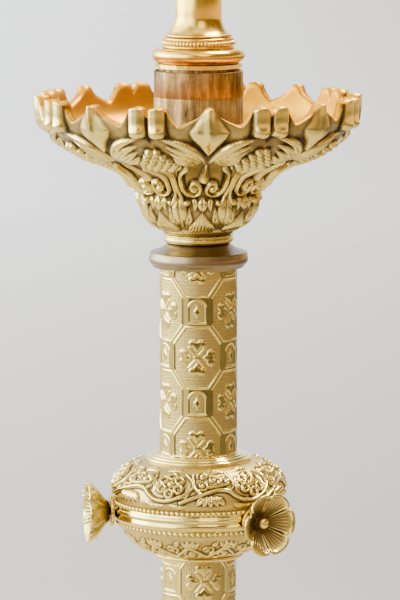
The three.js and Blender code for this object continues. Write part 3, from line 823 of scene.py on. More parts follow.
def rosette_washer(number):
    """A ring made along +Z, then turned to the rosette's axis behind it."""
    axis = rosette_axis(number)
    ring = outline(arc(6.7, 0.5, 0.5, -90, 0, 4), arc(6.7, 1.1, 0.5, 0, 90, 4), [(2.2, 1.6), (2.2, 0)])
    piece = revolve(f"rosette_washer_{number}_ring", ring, POLISHED, 64)
    turn = Vector((0, 0, 1)).rotation_difference(axis).to_matrix().to_4x4()
    at = axis * (SEAT_R - WASHER_BACK) * MM + Vector((0, 0, KNOP_Z * MM))
    piece.data.transform(Matrix.Translation(at) @ turn)
    place(piece, STAND, f"rosette_washer_{number}")


# ---- Drip pan ----
PAN_LINE = [
    (15.6, 0.3), (17.6, 2.6), (19.6, 4.2), (23.8, 8.2), (26.6, 12.9), (27.5, 17.1), (28.4, 21.8), (32.2, 26),
    (37.2, 31.1), (45.2, 35.2), (54.6, 38.7), (63.0, 43.6), (68.6, 49.0), (72.0, 56.2), (72.6, 64.3),
]
RIM_S = resample(curve(PAN_LINE, 12), 10)[1][-1]  # the outline's whole length
SECTORS = 8
HALF_SECTOR = TURN / SECTORS / 2  # from a single tooth to the double tooth beside it
SINGLE_AT = 4.0  # where the first single tooth stands
PAIR_HALF = 7.0  # half a double tooth, in degrees
TIP_DROP = 1.9  # a single tooth's tip below the double tooth's
NOTCH_DROP = 7.0


def tooth_drop(angle):
    """How far the rim is below its highest tips, at an angle from a single tooth's middle."""
    a = np.abs(angle)
    from_pair = np.abs(HALF_SECTOR - a)
    single = np.clip((a - 1.4) / 9.0, 0, 1) ** 0.8
    double = np.clip((from_pair - PAIR_HALF) / 3.6, 0, 1) ** 0.75
    cleft = 2.6 * np.exp(-((from_pair / 0.9) ** 2))
    lobes = cleft + TIP_DROP * (np.clip(np.abs(from_pair - 3.7) / 3.3, 0, 1) ** 2.4)
    notch = TIP_DROP + NOTCH_DROP * np.minimum(single, double) - TIP_DROP * np.clip(1 - a / 4, 0, 1)
    return np.where(from_pair < PAIR_HALF, lobes, notch)


def single_tooth(patch, x, below):
    """A blunt ridge that flares to a rounded shield and narrows again to a point."""
    wide = np.interp(below, (0, 4, 8, 11, 14, 18, 22, 24), (3.2, 4.4, 7.0, 9.2, 8.2, 5.0, 2.2, 0.4))
    shield = np.clip(1 - (x / wide) ** 2, 0, 1) ** 0.75
    ridge = np.exp(-((x / 1.7) ** 2)) * (1 - step(14, 8, below))
    patch.lift((1.7 + 1.3 * ridge + 1.3 * np.exp(-(((below - 13) / 3.6) ** 2))) * shield * (below < 24))


def double_tooth(patch, x, below):
    """Two rolled lobes side by side, curling out at their feet."""
    lobe = np.abs(x) - 4.5
    roll = np.sqrt(np.clip(1 - (lobe / 4.2) ** 2, 0, 1))
    length = 1 - step(11.8 + 1.6 * roll, 2.2, below)
    curl = 1.8 * np.exp(-(((below - 10.6) / 2.3) ** 2))
    patch.lift((2.9 + curl) * roll * length)


def grapes(patch, axis):
    """A lozenge of beads round the axis."""
    for row, count in enumerate((2, 3, 4, 5, 4, 3)):
        along = 68.8 - row * 3.6
        for i in range(count):
            patch.bead(axis + (i - (count - 1) / 2) * 3.7 / patch.scale_at(along), along, 1.85, 3.2)


def pan_pattern(patch):
    """Half a sector of the pan, from a single tooth at 0 to a double tooth at its end."""
    below = RIM_S - patch.along
    x = patch.angle * patch.scale
    for at, r, depth in (((7.5, 67.5), 3.4, 1.4), ((9.5, 43), 3.6, 1.3), ((5.2, 17), 1.7, 1.6)):
        patch.sink(depth * np.exp(-((patch.distance(*at) / r) ** 2)))
    cleft = np.hypot((patch.angle - HALF_SECTOR) * patch.scale, (patch.along - 77.4) * 2.6)
    patch.sink(0.9 * np.exp(-((cleft / 5.5) ** 2)))
    patch.height += stipple(patch, 0, 0.12, 4.2)
    single_tooth(patch, x, below)
    double_tooth(patch, (patch.angle - HALF_SECTOR) * patch.scale, below)
    # a broad ribbed leaf sweeps from the shield's foot to the double tooth
    for i in range(4):
        rib = [(0.8, 56.4 + 0.5 * i), (4.0 + 0.95 * i, 66.0 - 2.4 * i), (9.2 + 0.9 * i, 73.2 - 4.2 * i),
               (18.6 - 1.15 * i, 77.2 - 4.5 * i)]
        patch.leaf(rib, 5.0, 3.0 - 0.15 * i, 0, 0.5)
    patch.leaf([(1.0, 58), (9.6, 57.4), (15.6, 55.4)], 3.6, 2.0, 3)
    grapes(patch, HALF_SECTOR)
    # two volutes under a dart, and a stem up the double tooth's axis
    patch.cord([(10.6, 50), (14.8, 43), (17.0, 36), (16.4, 29.8), (12.6, 26.2), (8.0, 25.4), (3.6, 27.2),
                (2.6, 30.6), (5.0, 33.8), (8.6, 33.8), (10.6, 31.0)], 2.7, 2.9, 0.75)
    patch.bead(7.8, 30.2, 2.0, 3.2)
    dart = np.interp(patch.along, (34, 38, 46, 55), (3.4, 2.3, 1.3, 0.2))
    point = np.clip(1 - np.abs(x) / dart, 0, 1) ** 0.7
    patch.lift(2.4 * point * step(34.2, 0.8, patch.along) * (patch.along < 55))
    patch.cord([(19.8, 50), (21.3, 44), (21.6, 36), (21.0, 28), (18.6, 22.6), (14.8, 20.6)], 2.5, 2.5, 0.75)
    patch.bead(14.6, 21.4, 1.6, 2.5)
    patch.leaf([(18.0, 47.5), (19.4, 40), (19.0, 31)], 2.4, 1.5)
    patch.cord([(13.6, 51.5), (16.6, 46.5), (18.8, 41)], 1.5, 1.9, 0.6)
    # the bulb: fans of ridges under the volutes, and broad oval leaves between them
    for i in range(4):
        patch.leaf([(1.4 * i, 18.5 - 1.5 * i), (5.3 * i, 4.0)], 3.2, 2.0, 0, 0.6)
    patch.leaf([(0, 17), (0, 24.6)], 5.0, 1.7)
    patch.leaf([(HALF_SECTOR, 7.5), (HALF_SECTOR, 25.5)], 7.6, 2.2, 0, 0.55)
    patch.leaf([(17.4, 8.5), (13.6, 13), (12.6, 19.0)], 3.4, 1.9, 3)
    patch.leaf([(8.6, 24.0), (7.0, 21), (8.0, 17)], 2.8, 1.6)
    for i in range(5):
        patch.leaf([(2.4 + 4.5 * i, 5.2), (2.4 + 4.5 * i, 1.6)], 2.4, 1.2)


def drip_pan():
    """The pan's outside, cut off at the toothed rim, and its plain inside a wall's thickness within it."""
    columns, outer_rows, inner_rows = 1024, 150, 30
    points, lengths = resample(curve(PAN_LINE, 12), 400)
    side = normals(points)

    def pan_at(along):
        return [np.interp(along, lengths, values) for values in (*points.T, *side.T)]

    angles = column_angles(columns) - HALF_SECTOR
    local = ((angles + HALF_SECTOR) % (2 * HALF_SECTOR)) - HALF_SECTOR
    end = RIM_S - tooth_drop(local)
    share = np.linspace(0, 1, outer_rows)[:, None]
    s = share * end
    r, z, nr, nz = pan_at(s)
    half = slice(columns // (2 * SECTORS), columns // SECTORS)
    patch = Patch(np.repeat(local[None, half], outer_rows, 0), s[:, half], np.radians(r[:, half]))
    pan_pattern(patch)
    h = np.tile(np.hstack([patch.height[:, ::-1], patch.height]), (1, SECTORS))
    h *= step(1.5, 2.5, s)
    s_inside = np.linspace(1, 0.05, inner_rows)[:, None] * end
    wall = 2.2 + 1.6 * step(RIM_S - 12, 12, s_inside)
    r_inside, z_inside, nr_inside, nz_inside = pan_at(s_inside)
    rows_r = np.vstack([r + nr * h, r_inside - nr_inside * wall])
    rows_z = np.vstack([z + nz * h, z_inside - nz_inside * wall])
    outside = wear_and_shade(h, share[:, 0] * RIM_S, 55, 0.44, 2.0, 1.3, 3.2)
    relief = np.vstack([outside, np.full(s_inside.shape, 0.55)])
    a = np.radians(angles + SINGLE_AT)
    vertices = np.stack([rows_r * np.sin(a), -rows_r * np.cos(a), rows_z + PAN_Z], axis=-1).reshape(-1, 3)
    faces = grid_faces(len(rows_r), columns, True)
    piece = add_mesh("drip_pan_cast", vertices, faces, CAST, relief.reshape(-1))
    piece.data.materials.append(INSIDE)
    inside = np.repeat(np.arange(len(rows_r)) >= outer_rows - 1, columns)
    piece.data.polygons.foreach_set("material_index", inside.astype(np.int32))
    place(piece, STAND, "drip_pan")


# ---- Column fittings, socket and stem ----
BORE = 5  # of the pieces that the tie rod goes through
BRANCH_BORE = 12  # of the rings round the branch's spigot


def fittings():
    z = bottom("column_collar")
    height = top("column_collar") - z
    collar = outline(
        [(BORE, 0), (20.4, 0)], arc(20.6, 0.7, 0.7, -90, 0, 4),
        curve([(21.5, 1.0), (22.8, 2.6), (23.0, 4.2), (22.5, 6.4)], 5), arc(21.7, 6.4, 0.8, 10, 90, 4),
        [(20.6, 7.3)], curve([(20.4, 7.4), (17.6, 8.6), (14.4, height - 0.2)], 6),
        [(13.6, height), (BORE, height)],
    )
    place(revolve("collar", collar, BRONZE, 128, z), STAND, "column_collar")

    neck = outline([(BORE, 0), (13.6, 0)], arc(14.6, 1.8, 1.6, -90, 40, 8),
                   [(15.4, 3.0), (16.2, 3.4), (16.4, 4.0), (BORE, 4.1)])
    place(revolve("pan_neck", neck, CAST, 96, bottom("pan_neck_ring")), STAND, "pan_neck_ring")

    z = bottom("candle_socket")
    tall = top("candle_socket") - z
    r = radius("candle_socket")
    socket = outline(
        [(BORE, 0)], arc(r - 1, 1, 1, -90, 0, 4), [(r, 20), (r, tall - 12.4)],
        [(r - 0.25, tall - 12.1), (r, tall - 11.8)], arc(r - 0.5, tall - 0.5, 0.5, 0, 90, 3),
        [(r - 1.6, tall), (r - 1.6, 3), (BORE, 3)],
    )
    place(revolve("socket_cup", socket, AGED, 128, z), STAND, "candle_socket")

    torus = outline([(BRANCH_BORE, 0), (18.6, 0), (19.2, 0.6)], arc(18.5, 3.9, 3.05, -70, 75, 14),
                    [(17.6, 7.05), (BRANCH_BORE, 7.05)])
    place(revolve("branch_foot_torus", torus, POLISHED, 128, BRANCH_Z), BRANCH, "branch_foot_ring")
    z = bottom("branch_bead_ring")
    bead = outline([(BRANCH_BORE, 0), (15.6, 0)], arc(15.9, 0.7, 0.7, -80, 60, 4), [(16.0, 1.4), (16.0, 3.4)],
                   arc(15.8, 4.2, 0.7, -50, 90, 4), [(BRANCH_BORE, 5)])
    place(revolve("branch_bead_band", bead, POLISHED, 128, z), BRANCH, "branch_bead_ring")
    place(bead_ring("branch_beads", 62, 16.2, 0.95, z + 2.4, POLISHED, 1.15), BRANCH)


# ---- Base ----
def plinth_leaves(patch):
    """Half of an upright leaf, and half of the dart beside it."""
    wide = 8.6 * patch.scale_at(6.8)
    patch.leaf([(0, 1.0), (0, 12.6)], wide, 1.2, 0, 0.4)
    patch.leaf([(5, 6.8), (5, 13.1)], wide * 0.5, 1.08, 0, 0.6)
    patch.bead(5, 2.6, min(1.6, wide * 0.16), 1.2)


def tall_leaves(patch):
    """Half of a tall ribbed leaf, and half of the narrow one beside it."""
    patch.leaf([(0, 0.5), (0, 33)], 12.5, 1.3, 9, 0.34)
    patch.cord([(0, 4), (0, 31)], 1.1, 1.4, 0.4)
    patch.leaf([(15, 8), (15, 38)], 7.0, 1.0, 0, 0.55)
    patch.cord([(15, 1), (13, 9), (15, 18)], 1.0, 1.0, 0.6)
    patch.bead(15, 3.6, 2.2, 1.2)


def dome_pattern(whole):
    """Flowers and ribbed leaves on a vine, as on the knop but wider."""
    for at in (-60, 0, 60):
        patch = whole.about(at)
        petal_flower(patch, 17, 8.2)
        patch.cord([(-30, 15), (-19, 9), (-8, 5.2), (8, 5.2), (19, 9), (30, 15)], 2.0, 1.4)
        for side in (-1, 1):
            patch.scroll(side * 17, 21.5, 5.2, 1.4, 90 - side * 60, 1.7, 1.3, -side)
            patch.leaf([(side * 12, 9), (side * 19, 14), (side * 24, 21)], 5.6, 1.3, 6)
            patch.leaf([(side * 10, 28), (side * 17, 31), (side * 26, 29)], 4.2, 1.1, 6)
            patch.leaf([(side * 23, 9), (side * 21, 2.5)], 3.4, 1.1)
        patch.leaf([(30, 17), (30, 33)], 7.5, 1.4, 7)
        for drop in (-4, 0, 4):
            patch.leaf([(30 + drop * 0.7, 11.5), (30 + drop * 1.6, 2.6)], 2.8, 1.1)


def embossed_shell(name, node, line, back, columns, sectors, draw, material, mirrored=True):
    """A turned shell whose outside carries relief: line is its face, and back closes it behind."""
    face, along = resample(line, 130)
    angles, height = sector_relief(face, along, columns, sectors, draw, mirrored)
    height = faded(height, along, (0.8, 1.4), (0.8, 1.4))
    full, relief = framed(face, height, wear_and_shade(height, along, line[0][0]), after=back, plain=0.8)
    place(revolve(name, full, material, z=bottom(node), angles=angles, **relief), STAND, node)


def plinth():
    below = outline([(84.4, 0.2)], arc(89.6, 2.2, 2.0, -90, 0, 5), [(91.6, 5.6)],
                    arc(90.6, 5.8, 1.1, 0, 90, 4), [(89.4, 7.2), (89.6, 8.0)])
    above = outline(arc(77.4, 18.3, 1.4, -60, 90, 5), [(70, 19.8), (69, 17.2), (77, 14), (84.4, 7)])
    face, along = resample(curve([(89.6, 8.3), (87.6, 9.6), (86.2, 12), (83, 14.8), (78.6, 17)], 10), 44)
    angles, height = sector_relief(face, along, 1080, 36, plinth_leaves)
    line, relief = framed(face, height, np.clip(0.3 + height / 1.3, 0, 1), below, above)
    relief["relief"][: len(below)] = 0.9
    piece = revolve("base_plinth_cast", line, CAST, z=bottom("base_plinth"), angles=angles, **relief)
    place(piece, STAND, "base_plinth")
    place(bead_ring("base_plinth_beads", 150, 76.2, 1.25, top("base_plinth") + 0.9, CAST), STAND)


def neck_ring():
    """A torus with a twisted rope round it."""
    ring = outline([(15.7, 0.1), (21.6, 0.1)], arc(21.9, 0.7, 0.6, -80, 40, 4),
                   arc(21.4, 4.0, 3.2, -62, 62, 16), arc(21.9, 7.3, 0.6, -40, 80, 4), [(15.7, 7.9)])
    angles = column_angles(576)
    torus = slice(7, 24)  # its points in the outline
    rope = np.abs(np.sin(np.radians(angles * 18) + (ring[torus, 1:] - 4.0) * 0.5))
    height = np.zeros((len(ring), len(angles)))
    height[torus] = 0.9 * np.sqrt(rope) - 0.7
    relief = np.full(height.shape, 0.9)
    relief[torus] = 0.35 + 0.6 * np.sqrt(rope)
    z = bottom("base_neck_ring")
    piece = revolve("base_neck", ring, POLISHED, z=z, angles=angles, height=height, relief=relief)
    place(piece, STAND, "base_neck_ring")


def base():
    plinth()
    dome = curve([(75.0, 2.4), (73.2, 7), (66.2, 16), (55.2, 24), (46.8, 28.2)], 14)
    inside = [(46, 28.9), (24, 28.9), (24, 27), (44, 27), (54, 21.5), (64.5, 14), (71.5, 6), (73, 0.2),
              (75.4, 0.2)]
    embossed_shell("base_dome_embossed", "base_dome", dome, inside, 1080, 6, dome_pattern, EMBOSSED, False)

    z = bottom("base_bead_ring")
    ring = outline([(24, 0), (44.4, 0)], arc(44.6, 1.0, 0.9, -90, 60, 5), [(44.4, 2.0), (44.4, 4.2)],
                   arc(44.2, 5.1, 0.8, -40, 90, 4), [(24, 5.95)])
    place(revolve("base_ring", ring, POLISHED, 160, z), STAND, "base_bead_ring")
    place(bead_ring("base_ring_beads", 104, 44.9, 1.25, z + 3.1, POLISHED), STAND)

    trumpet = curve([(41, 0.4), (33.6, 4.6), (27.0, 13), (23.1, 23), (21.6, 30.4)], 12)
    inside = [(20, 30.8), (21.4, 22), (25.2, 12), (31.6, 4), (36.6, 0.2)]
    embossed_shell("base_trumpet_leaves", "base_trumpet", trumpet, inside, 720, 12, tall_leaves, CAST)
    neck_ring()


def foot(number):
    """A lobed bun."""
    line = outline([(0, 0), (7.6, 0)],
                   curve([(8.2, 0.1), (10.4, 1.2), (12.9, 6), (10.6, 10.4), (8.6, 11.5)], 8),
                   arc(8.6, 12.3, 0.8, -60, 60, 4), [(8.4, 13.9), (0, 13.9)])
    angles = column_angles(144)
    lobes = 0.9 * (np.abs(np.cos(np.radians(angles * 6))) ** 0.6 - 0.9)
    r, level = line[1:-1].T
    swell = np.clip(np.sin(np.pi * np.clip(level / 11.4, 0, 1)), 0, 1) * (r > 8)
    height = swell[:, None] * lobes
    piece = revolve(f"foot_{number}_bun", line, CAST, z=0, angles=angles, height=height,
                    relief=np.clip(0.85 + height, 0, 1), centre=centre_of(f"foot_{number}"))
    place(piece, STAND, f"foot_{number}")


# ---- Branch ----
ARMS = ("1", "2", "3", "4")
LIGHTS = (*ARMS, "centre")
ARM_REACH = math.hypot(*centre_of("light_1_pan"))
ARM_SIDES = 40


def branch_stem():
    spigot = -33.9
    hub_z = bottom("branch_hub") - BRANCH_Z
    peg = hub_z + 45.9
    line = outline(
        [(0, spigot), (11.2, spigot), (11.2, 12.2), (15.2, 12.3)], arc(15.0, 12.9, 0.6, -60, 90, 5),
        curve([(14.4, 13.7), (13.0, 15.2), (11.7, 17.4), (10.8, 20.2), (10.6, 22.6)], 6),
        [(10.6, hub_z), (5, hub_z), (5, peg), (0, peg)],
    )
    place(revolve("stem", line, POLISHED, 96, BRANCH_Z), BRANCH, "branch_stem")


def gadroons(patch):
    """Half of the pointed lobes that run up and down the hub from its middle band."""
    for start, end in ((1.5, 18), (40, 23.5)):
        patch.leaf([(0, start), (0, end)], 5.4, 0.9, 0, 0.6)
    for start, end in ((3, 13), (38, 28)):
        patch.leaf([(11.25, start), (11.25, end)], 2.6, 0.7)
    for band in (19.4, 22.2):
        patch.cord([(-2, band), (14, band)], 1.0, 0.9)


def hub():
    z = bottom("branch_hub")
    height = top("branch_hub") - z
    low = outline([(5.4, 0.1), (13.4, 0.1)], arc(13.6, 1.2, 1.1, -80, 80, 8), [(12.4, 2.8), (11.9, 4.6)])
    ball = curve([(12.2, 5.2), (14.4, 8.4), (19.0, 13.6), (20.7, 22), (18.0, 29.6), (13.2, 34.4),
                  (12.0, 36.4)], 10)
    high = outline(arc(12.9, 38.4, 1.3, -80, 80, 8),
                   [(11.6, 40.3), (12.0, 41.4), (11, height - 0.1), (5.4, height - 0.1)])
    face, along = resample(ball, 90)
    angles, lifted = sector_relief(face, along, 512, 16, gadroons)
    line, relief = framed(face, lifted, np.clip(0.35 + lifted / 0.9, 0, 1), low, high, 0.9)
    place(revolve("hub", line, POLISHED, z=z, angles=angles, **relief), BRANCH, "branch_hub")


def arm_line():
    """The arm's centre line in its own plane, as (reach, height) points from the hub to the light's seat."""
    z = bottom("branch_hub") + 22
    seat = bottom("light_1_pan") - 0.1
    line = curve([(22, z), (31, z + 1), (43, z - 5), (56, z - 14), (73, z - 19), (92, z - 14), (106, z + 1),
                  (ARM_REACH, z + 19), (ARM_REACH, seat - 5)], 14)
    return resample(line, 150)


def arm_radius(along, total):
    """The arm's radius along its length: a socket collar, rings, a swelling leaf sheath and a slim end."""
    t = along / total
    r = 3.6 - 0.7 * t + 0.5 * np.sin(np.pi * t)
    for at, swell, width in ((1.5, 1.7, 2.2), (7, 0.9, 1.0), (9.4, 0.9, 1.0), (total * 0.52, 0.9, 1.4),
                             (total * 0.55, 0.9, 1.4), (total - 6, 0.9, 1.0), (total - 3.2, 1.4, 1.4)):
        r = r + swell * np.exp(-(((along - at) / width) ** 2))
    return r


def arm(number):
    spot = centre_of(f"light_{number}_pan")
    turn = math.atan2(spot[1], spot[0])
    out = np.array([math.cos(turn), math.sin(turn), 0])
    sideways = np.array([-math.sin(turn), math.cos(turn), 0])
    up = np.array([0, 0, 1])
    line, along = arm_line()
    tangent = np.gradient(line, axis=0)
    tangent /= np.hypot(*tangent.T)[:, None]
    around = np.arange(ARM_SIDES) * 2 * np.pi / ARM_SIDES
    r = arm_radius(along, along[-1])[:, None] + 0 * around
    # a ribbed leaf wraps the outer half of the bend
    share = (along / along[-1])[:, None]
    rise = np.clip(np.sin(np.pi * np.clip((share - 0.57) / 0.33, 0, 1)), 0, 1)
    back = np.abs((np.degrees(around) + 180) % TURN - 180) / 110
    sheath = rise * (back < rise)
    r = r + sheath * (1.1 + 0.28 * np.cos(back * 14 + share * 60))
    shade = np.clip(0.75 + 0.25 * sheath - 0.3 * (rise > 0) * (back > rise), 0, 1)
    inward = np.stack([-tangent[:, 1], tangent[:, 0]], axis=1)
    flat = line[:, None, :] - inward[:, None, :] * (r * np.cos(around))[..., None]
    rings = flat[..., :1] * out + flat[..., 1:] * up + (r * np.sin(around))[..., None] * sideways
    ends = [line[row, 0] * out + line[row, 1] * up for row in (0, -1)]
    first = len(line) * ARM_SIDES
    base_row = first - ARM_SIDES
    faces = grid_faces(len(line), ARM_SIDES, False)
    faces += [(first, (i + 1) % ARM_SIDES, i) for i in range(ARM_SIDES)]
    faces += [(first + 1, base_row + i, base_row + (i + 1) % ARM_SIDES) for i in range(ARM_SIDES)]
    vertices = np.vstack([rings.reshape(-1, 3), ends])
    shade = np.concatenate([shade.reshape(-1), [PLAIN_SHADE] * 2])
    place(add_mesh(f"arm_{number}_swept", vertices, faces, POLISHED, shade), BRANCH, f"arm_{number}")
    boss = outline([(0, -8.4), (2.4, -8.4)], arc(3.3, -7.2, 1.2, -80, 80, 6), [(3.2, -5.6)],
                   curve([(3.4, -5.2), (5.6, -4.0), (7.2, -2.2), (7.3, -1.2)], 5),
                   arc(6.6, -0.7, 0.7, 0, 90, 4), [(3.2, 0), (3.2, 8.6), (2.6, 9), (0, 9)])
    seat = bottom(f"light_{number}_pan") - 0.15
    place(revolve(f"arm_{number}_seat", boss, POLISHED, 64, seat, centre=spot), BRANCH)


def spindle():
    z = bottom("centre_spindle")
    seat = bottom("light_centre_pan") - 0.1 - z
    line = outline(
        [(0, 4.7), (5.2, 4.7), (5.4, 0.1), (8.8, 0.1)], arc(9.2, 1.4, 1.3, -85, 85, 8),
        [(8.0, 3.0), (7.6, 3.6)],
        curve([(7.4, 4.0), (6.2, 6.4), (6.2, 11), (8.6, 16.6), (9.2, 21.6), (6.2, 27.6), (5.4, 29.6)], 8),
        arc(5.9, 31.0, 1.1, -85, 85, 6), [(4.8, 32.3)],
        curve([(5.0, 32.6), (6.4, 33.8), (6.6, seat - 0.6)], 4),
        [(6.2, seat), (3.2, seat), (3.2, seat + 8.6), (2.6, seat + 9), (0, seat + 9)],
    )
    place(revolve("spindle", line, POLISHED, 96, z), BRANCH, "centre_spindle")


def light(name):
    light_pan(f"light_{name}")
    candle_cup(f"light_{name}")


def light_pan(body):
    """A shallow pan with a scalloped rim."""
    scallops = 16
    angles = column_angles(256)
    wave = np.abs(np.sin(np.radians(angles * scallops / 2)))
    under = curve([(7.2, 0.15), (14, 0.9), (23, 3.1), (29.6, 6.4), (32.2, 7.4)], 10)
    over = curve([(31.8, 8.2), (29.0, 7.8), (22, 4.9), (15, 2.9), (12.6, 2.2)], 10)
    line = outline([(3.5, 0.15)], under, over, [(12, 2.0), (3.5, 2.0)])
    lobes = step(14, 16, line[:, :1]) * (0.9 * wave - 0.7)
    below = slice(1, 1 + len(under))
    above = slice(below.stop, below.stop + len(over))
    height = np.zeros(lobes.shape)
    height[above] = np.clip(lobes[above], -1, 1)
    height[below] = -np.clip(lobes[below], -1, 0.4) * 0.8
    node = f"{body}_pan"
    piece = revolve(f"{body}_drip_pan", line, POLISHED, z=bottom(node), angles=angles, height=height,
                    relief=np.clip(0.85 + height * 0.5, 0, 1), centre=centre_of(node))
    place(piece, body, node)


def candle_cup(body):
    """A cup with twelve flutes round its belly and a beaded lip."""
    node = f"{body}_cup"
    z = bottom(node)
    centre = centre_of(f"{body}_pan")
    angles = column_angles(192)
    foot_line = outline(
        [(0, 8.9), (3.5, 8.9), (3.5, 0.1), (8.8, 0.1)], arc(9.0, 0.8, 0.6, -80, 80, 4), [(8.4, 1.7)],
        curve([(8.2, 1.9), (6.6, 3.2), (6.0, 4.8)], 5), arc(6.2, 6.2, 1.1, -75, 75, 6),
    )
    belly = curve([(7.0, 8.2), (10.2, 10.2), (12.6, 15.6), (12.3, 25), (12.9, 29.6)], 10)
    lip = outline(arc(13.5, 31.2, 0.9, -80, 20, 5), [(14.2, 32.6)], arc(13.9, 33.6, 0.8, -30, 110, 5),
                  [(11.3, 34.2), (11.2, 12.6), (0, 12.6)])
    line = outline(foot_line, belly, lip)
    swell = np.zeros(len(line))
    swell[len(foot_line):len(foot_line) + len(belly)] = np.sin(np.pi * np.linspace(0.05, 0.95, len(belly)))
    petals = np.abs(np.sin(np.radians(angles * 6))) ** 0.7
    height = swell[1:-1, None] * (0.8 * petals - 0.5)
    piece = revolve(f"{body}_candle_cup", line, POLISHED, z=z, angles=angles, height=height,
                    relief=np.clip(0.85 + height * 0.6, 0, 1), centre=centre)
    place(piece, body, node)
    place(bead_ring(f"{body}_cup_beads", 40, 13.4, 0.75, z + 29.7, POLISHED, centre=centre), body)


def carried_over():
    """The CAD pieces that stay: each gets the finish of its own slot."""
    finishes = {"cast_brass": CAST_PLAIN, "embossed_brass": EMBOSSED_PLAIN, "polished_brass": POLISHED_PLAIN,
                "aged_brass": AGED, "dark_bronze": BRONZE, "steel": STEEL, "iron": IRON}
    slots = {part["node"]: part["material_slot"] for part in frame["record"]["subparts"]}
    for node, piece in frame["nodes"].items():
        for material_slot in piece.material_slots:
            material_slot.material = finishes[slots[node]]


fittings()
column_tube("upper_column", "upper_tube", KNOP_Z + 73.6, -2)
column_tube("lower_column", "lower_tube", KNOP_Z - 31.7, 9, TUBE_R - 0.4)
knop()
for number in (1, 2, 3):
    rosette(number)
    rosette_washer(number)
    foot(number)
drip_pan()
base()
branch_stem()
hub()
for name in ARMS:
    arm(name)
spindle()
for name in LIGHTS:
    light(name)
carried_over()


# ---- Stage: pale floor, soft studio lights and the camera ----
FLOOR_HALF = 20.0


def grey(level):
    return (level, level, level)


def stage_floor():
    """A wide pale floor with painted shade: a little darker and warmer towards the right and the viewer, and
    faintly cool where it is brightest.
    """
    corners = [(x * FLOOR_HALF, y * FLOOR_HALF, 0) for x, y in ((-1, -1), (1, -1), (1, 1), (-1, 1))]
    mesh = bpy.data.meshes.new("floor")
    mesh.from_pydata(corners, [], [(0, 1, 2, 3)])
    n = Nodes("floor")
    split = n.add("ShaderNodeSeparateXYZ")
    n.link(n.place, split.inputs[0])
    to_right = n.ramp(n.level(split.outputs["X"], 0, 1, -0.6, 2.0), (0.0, grey(1)), (0.2, grey(0.78)),
                      (0.42, grey(0.5)), (1.0, grey(0.34)), blend="B_SPLINE")
    to_viewer = n.ramp(n.level(split.outputs["Y"], 0, 1, -3.0, 4.0), (0.0, grey(0.32)), (0.6, grey(0.42)),
                       (0.95, grey(1.15)), blend="B_SPLINE")
    tone = n.math("MULTIPLY", to_right, to_viewer)
    grain = n.level(n.noise(6, 3), 0.98, 1.02)
    shade = n.ramp(n.math("MULTIPLY", tone, grain), (0.05, (0.16, 0.135, 0.11)), (0.3, (0.38, 0.355, 0.33)),
                   (0.55, (0.60, 0.585, 0.58)), (1.0, (0.91, 0.945, 1.0)))
    n.link(shade, n.shader.inputs["Base Color"])
    n.shader.inputs["Roughness"].default_value = 0.9
    n.shader.inputs["Specular IOR Level"].default_value = 0.1
    add_to_stage("floor", mesh, n.material)


def add_to_stage(name, mesh, material):
    mesh.materials.append(material)
    made = bpy.data.objects.new(name, mesh)
    bpy.context.scene.collection.objects.link(made)
    return made


# how bright the studio is in each direction
WINDOW_SIDE = (8.4, 8.5, 8.3)
VIEWER_SIDE = (0.30, 0.25, 0.16)
DIM_SIDE = (0.36, 0.22, 0.09)
BACK_WALL = (2.3, 2.35, 2.5)
CEILING = (2.3, 2.25, 2.15)


def world():
    """A studio with a bright window to the left, a pale wall behind and a dim room to the right."""
    made = bpy.data.worlds.new("studio")
    bpy.context.scene.world = made
    made.use_nodes = True
    tree = made.node_tree
    background = tree.nodes["Background"]
    direction = tree.nodes.new("ShaderNodeTexCoord").outputs["Generated"]
    split = tree.nodes.new("ShaderNodeSeparateXYZ")
    tree.links.new(direction, split.inputs[0])

    def share(axis, start, end):
        node = tree.nodes.new("ShaderNodeMapRange")
        node.interpolation_type = "SMOOTHSTEP"
        node.inputs["From Min"].default_value = start
        node.inputs["From Max"].default_value = end
        tree.links.new(split.outputs[axis], node.inputs["Value"])
        return node.outputs[0]

    def mixed(factor, first, second):
        node = tree.nodes.new("ShaderNodeMix")
        node.data_type = "RGBA"
        tree.links.new(factor, node.inputs[0])
        for socket, value in ((node.inputs[6], first), (node.inputs[7], second)):
            if isinstance(value, tuple):
                socket.default_value = (*value, 1)
            else:
                tree.links.new(value, socket)
        return node.outputs[2]

    colour = mixed(share("X", -0.85, -0.1), WINDOW_SIDE, VIEWER_SIDE)
    colour = mixed(share("X", 0.0, 0.7), colour, DIM_SIDE)
    colour = mixed(share("Y", 0.55, 0.95), colour, BACK_WALL)
    colour = mixed(share("Z", 0.55, 0.9), colour, CEILING)
    tree.links.new(colour, background.inputs["Color"])


SCREEN_FROM, SCREEN_TO = -30, 150  # the dark side of the room, round from the window's edge to the back
SCREEN_R, SCREEN_Z, LAMP_Z = 1.25, 0.29, 0.62
LAMP = (1.9, 1.15, 0.45)


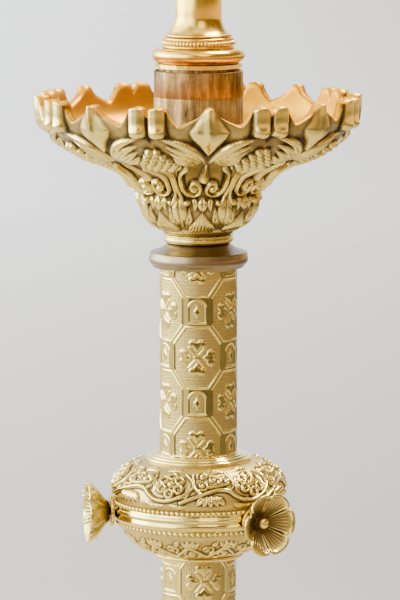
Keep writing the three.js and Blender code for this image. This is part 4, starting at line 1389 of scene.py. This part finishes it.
def dark_room():
    """What the brass mirrors in front and to the right: a dim room, with a warm lit wall above it. Only
    reflections see it, so it throws no shade on the floor."""
    turns = np.radians(np.linspace(SCREEN_FROM, SCREEN_TO, 37))
    corners = [(SCREEN_R * math.sin(a), -SCREEN_R * math.cos(a), z) for z in (0.0, LAMP_Z) for a in turns]
    n = len(turns)
    mesh = bpy.data.meshes.new("dark_room")
    mesh.from_pydata(corners, [], [(i, i + 1, n + i + 1, n + i) for i in range(n - 1)])
    nodes = Nodes("dark_room")
    split = nodes.add("ShaderNodeSeparateXYZ")
    nodes.link(nodes.place, split.inputs[0])
    wall = nodes.ramp(nodes.level(split.outputs["X"], 0, 1, -0.6, 1.25), (0.0, (0.15, 0.14, 0.12)),
                      (0.5, (0.10, 0.08, 0.05)), (1.0, (0.17, 0.11, 0.05)))
    lit = nodes.level(split.outputs["Z"], 0, 1, SCREEN_Z - 0.02, SCREEN_Z + 0.05)
    nodes.shader.inputs["Base Color"].default_value = (0, 0, 0, 1)
    nodes.shader.inputs["Emission Strength"].default_value = 1.0
    nodes.link(nodes.mix(lit, wall, LAMP), nodes.shader.inputs["Emission Color"])
    screen = add_to_stage("dark_room", mesh, nodes.material)
    for ray in ("camera", "diffuse", "shadow", "transmission"):
        setattr(screen, f"visible_{ray}", False)


def area_light(name, at, target, size, power, colour, spread=math.pi):
    data = bpy.data.lights.new(name, "AREA")
    data.shape = "RECTANGLE"
    data.size, data.size_y = size
    data.energy = power
    data.color = colour
    data.spread = spread
    light = bpy.data.objects.new(name, data)
    light.location = at
    light.rotation_euler = (Vector(target) - Vector(at)).to_track_quat("-Z", "Y").to_euler()
    light.visible_camera = False
    bpy.context.scene.collection.objects.link(light)


def camera():
    data = bpy.data.cameras.new("camera")
    data.sensor_fit = "VERTICAL"
    data.sensor_height = 36.0
    data.lens = 240.0
    made = bpy.data.objects.new("camera", data)
    aim = Vector((0.0007, 0, (KNOP_Z + 98) * MM))
    pitch = math.radians(8.0)
    distance = 1.85
    made.location = aim + distance * Vector((0, -math.cos(pitch), math.sin(pitch)))
    made.rotation_euler = (aim - made.location).to_track_quat("-Z", "Y").to_euler()
    bpy.context.scene.collection.objects.link(made)
    bpy.context.scene.camera = made


stage_floor()
dark_room()
world()
area_light("window", (-1.35, 0.2, 0.66), (0, 0, 0.4), (1.3, 0.8), 33, (1.0, 0.99, 0.95))
area_light("key", (-1.1, -1.2, 1.1), (0, 0, 0.35), (0.9, 1.4), 7, (1.0, 0.98, 0.94))
area_light("warm_front", (0.35, -1.3, 1.5), (0, 0, 0.35), (0.7, 0.7), 8, (1.0, 0.76, 0.38))
area_light("warm_above", (0.45, 0.3, 1.5), (0, 0, 0.42), (0.5, 0.5), 13, (1.0, 0.80, 0.42), math.radians(70))
camera()
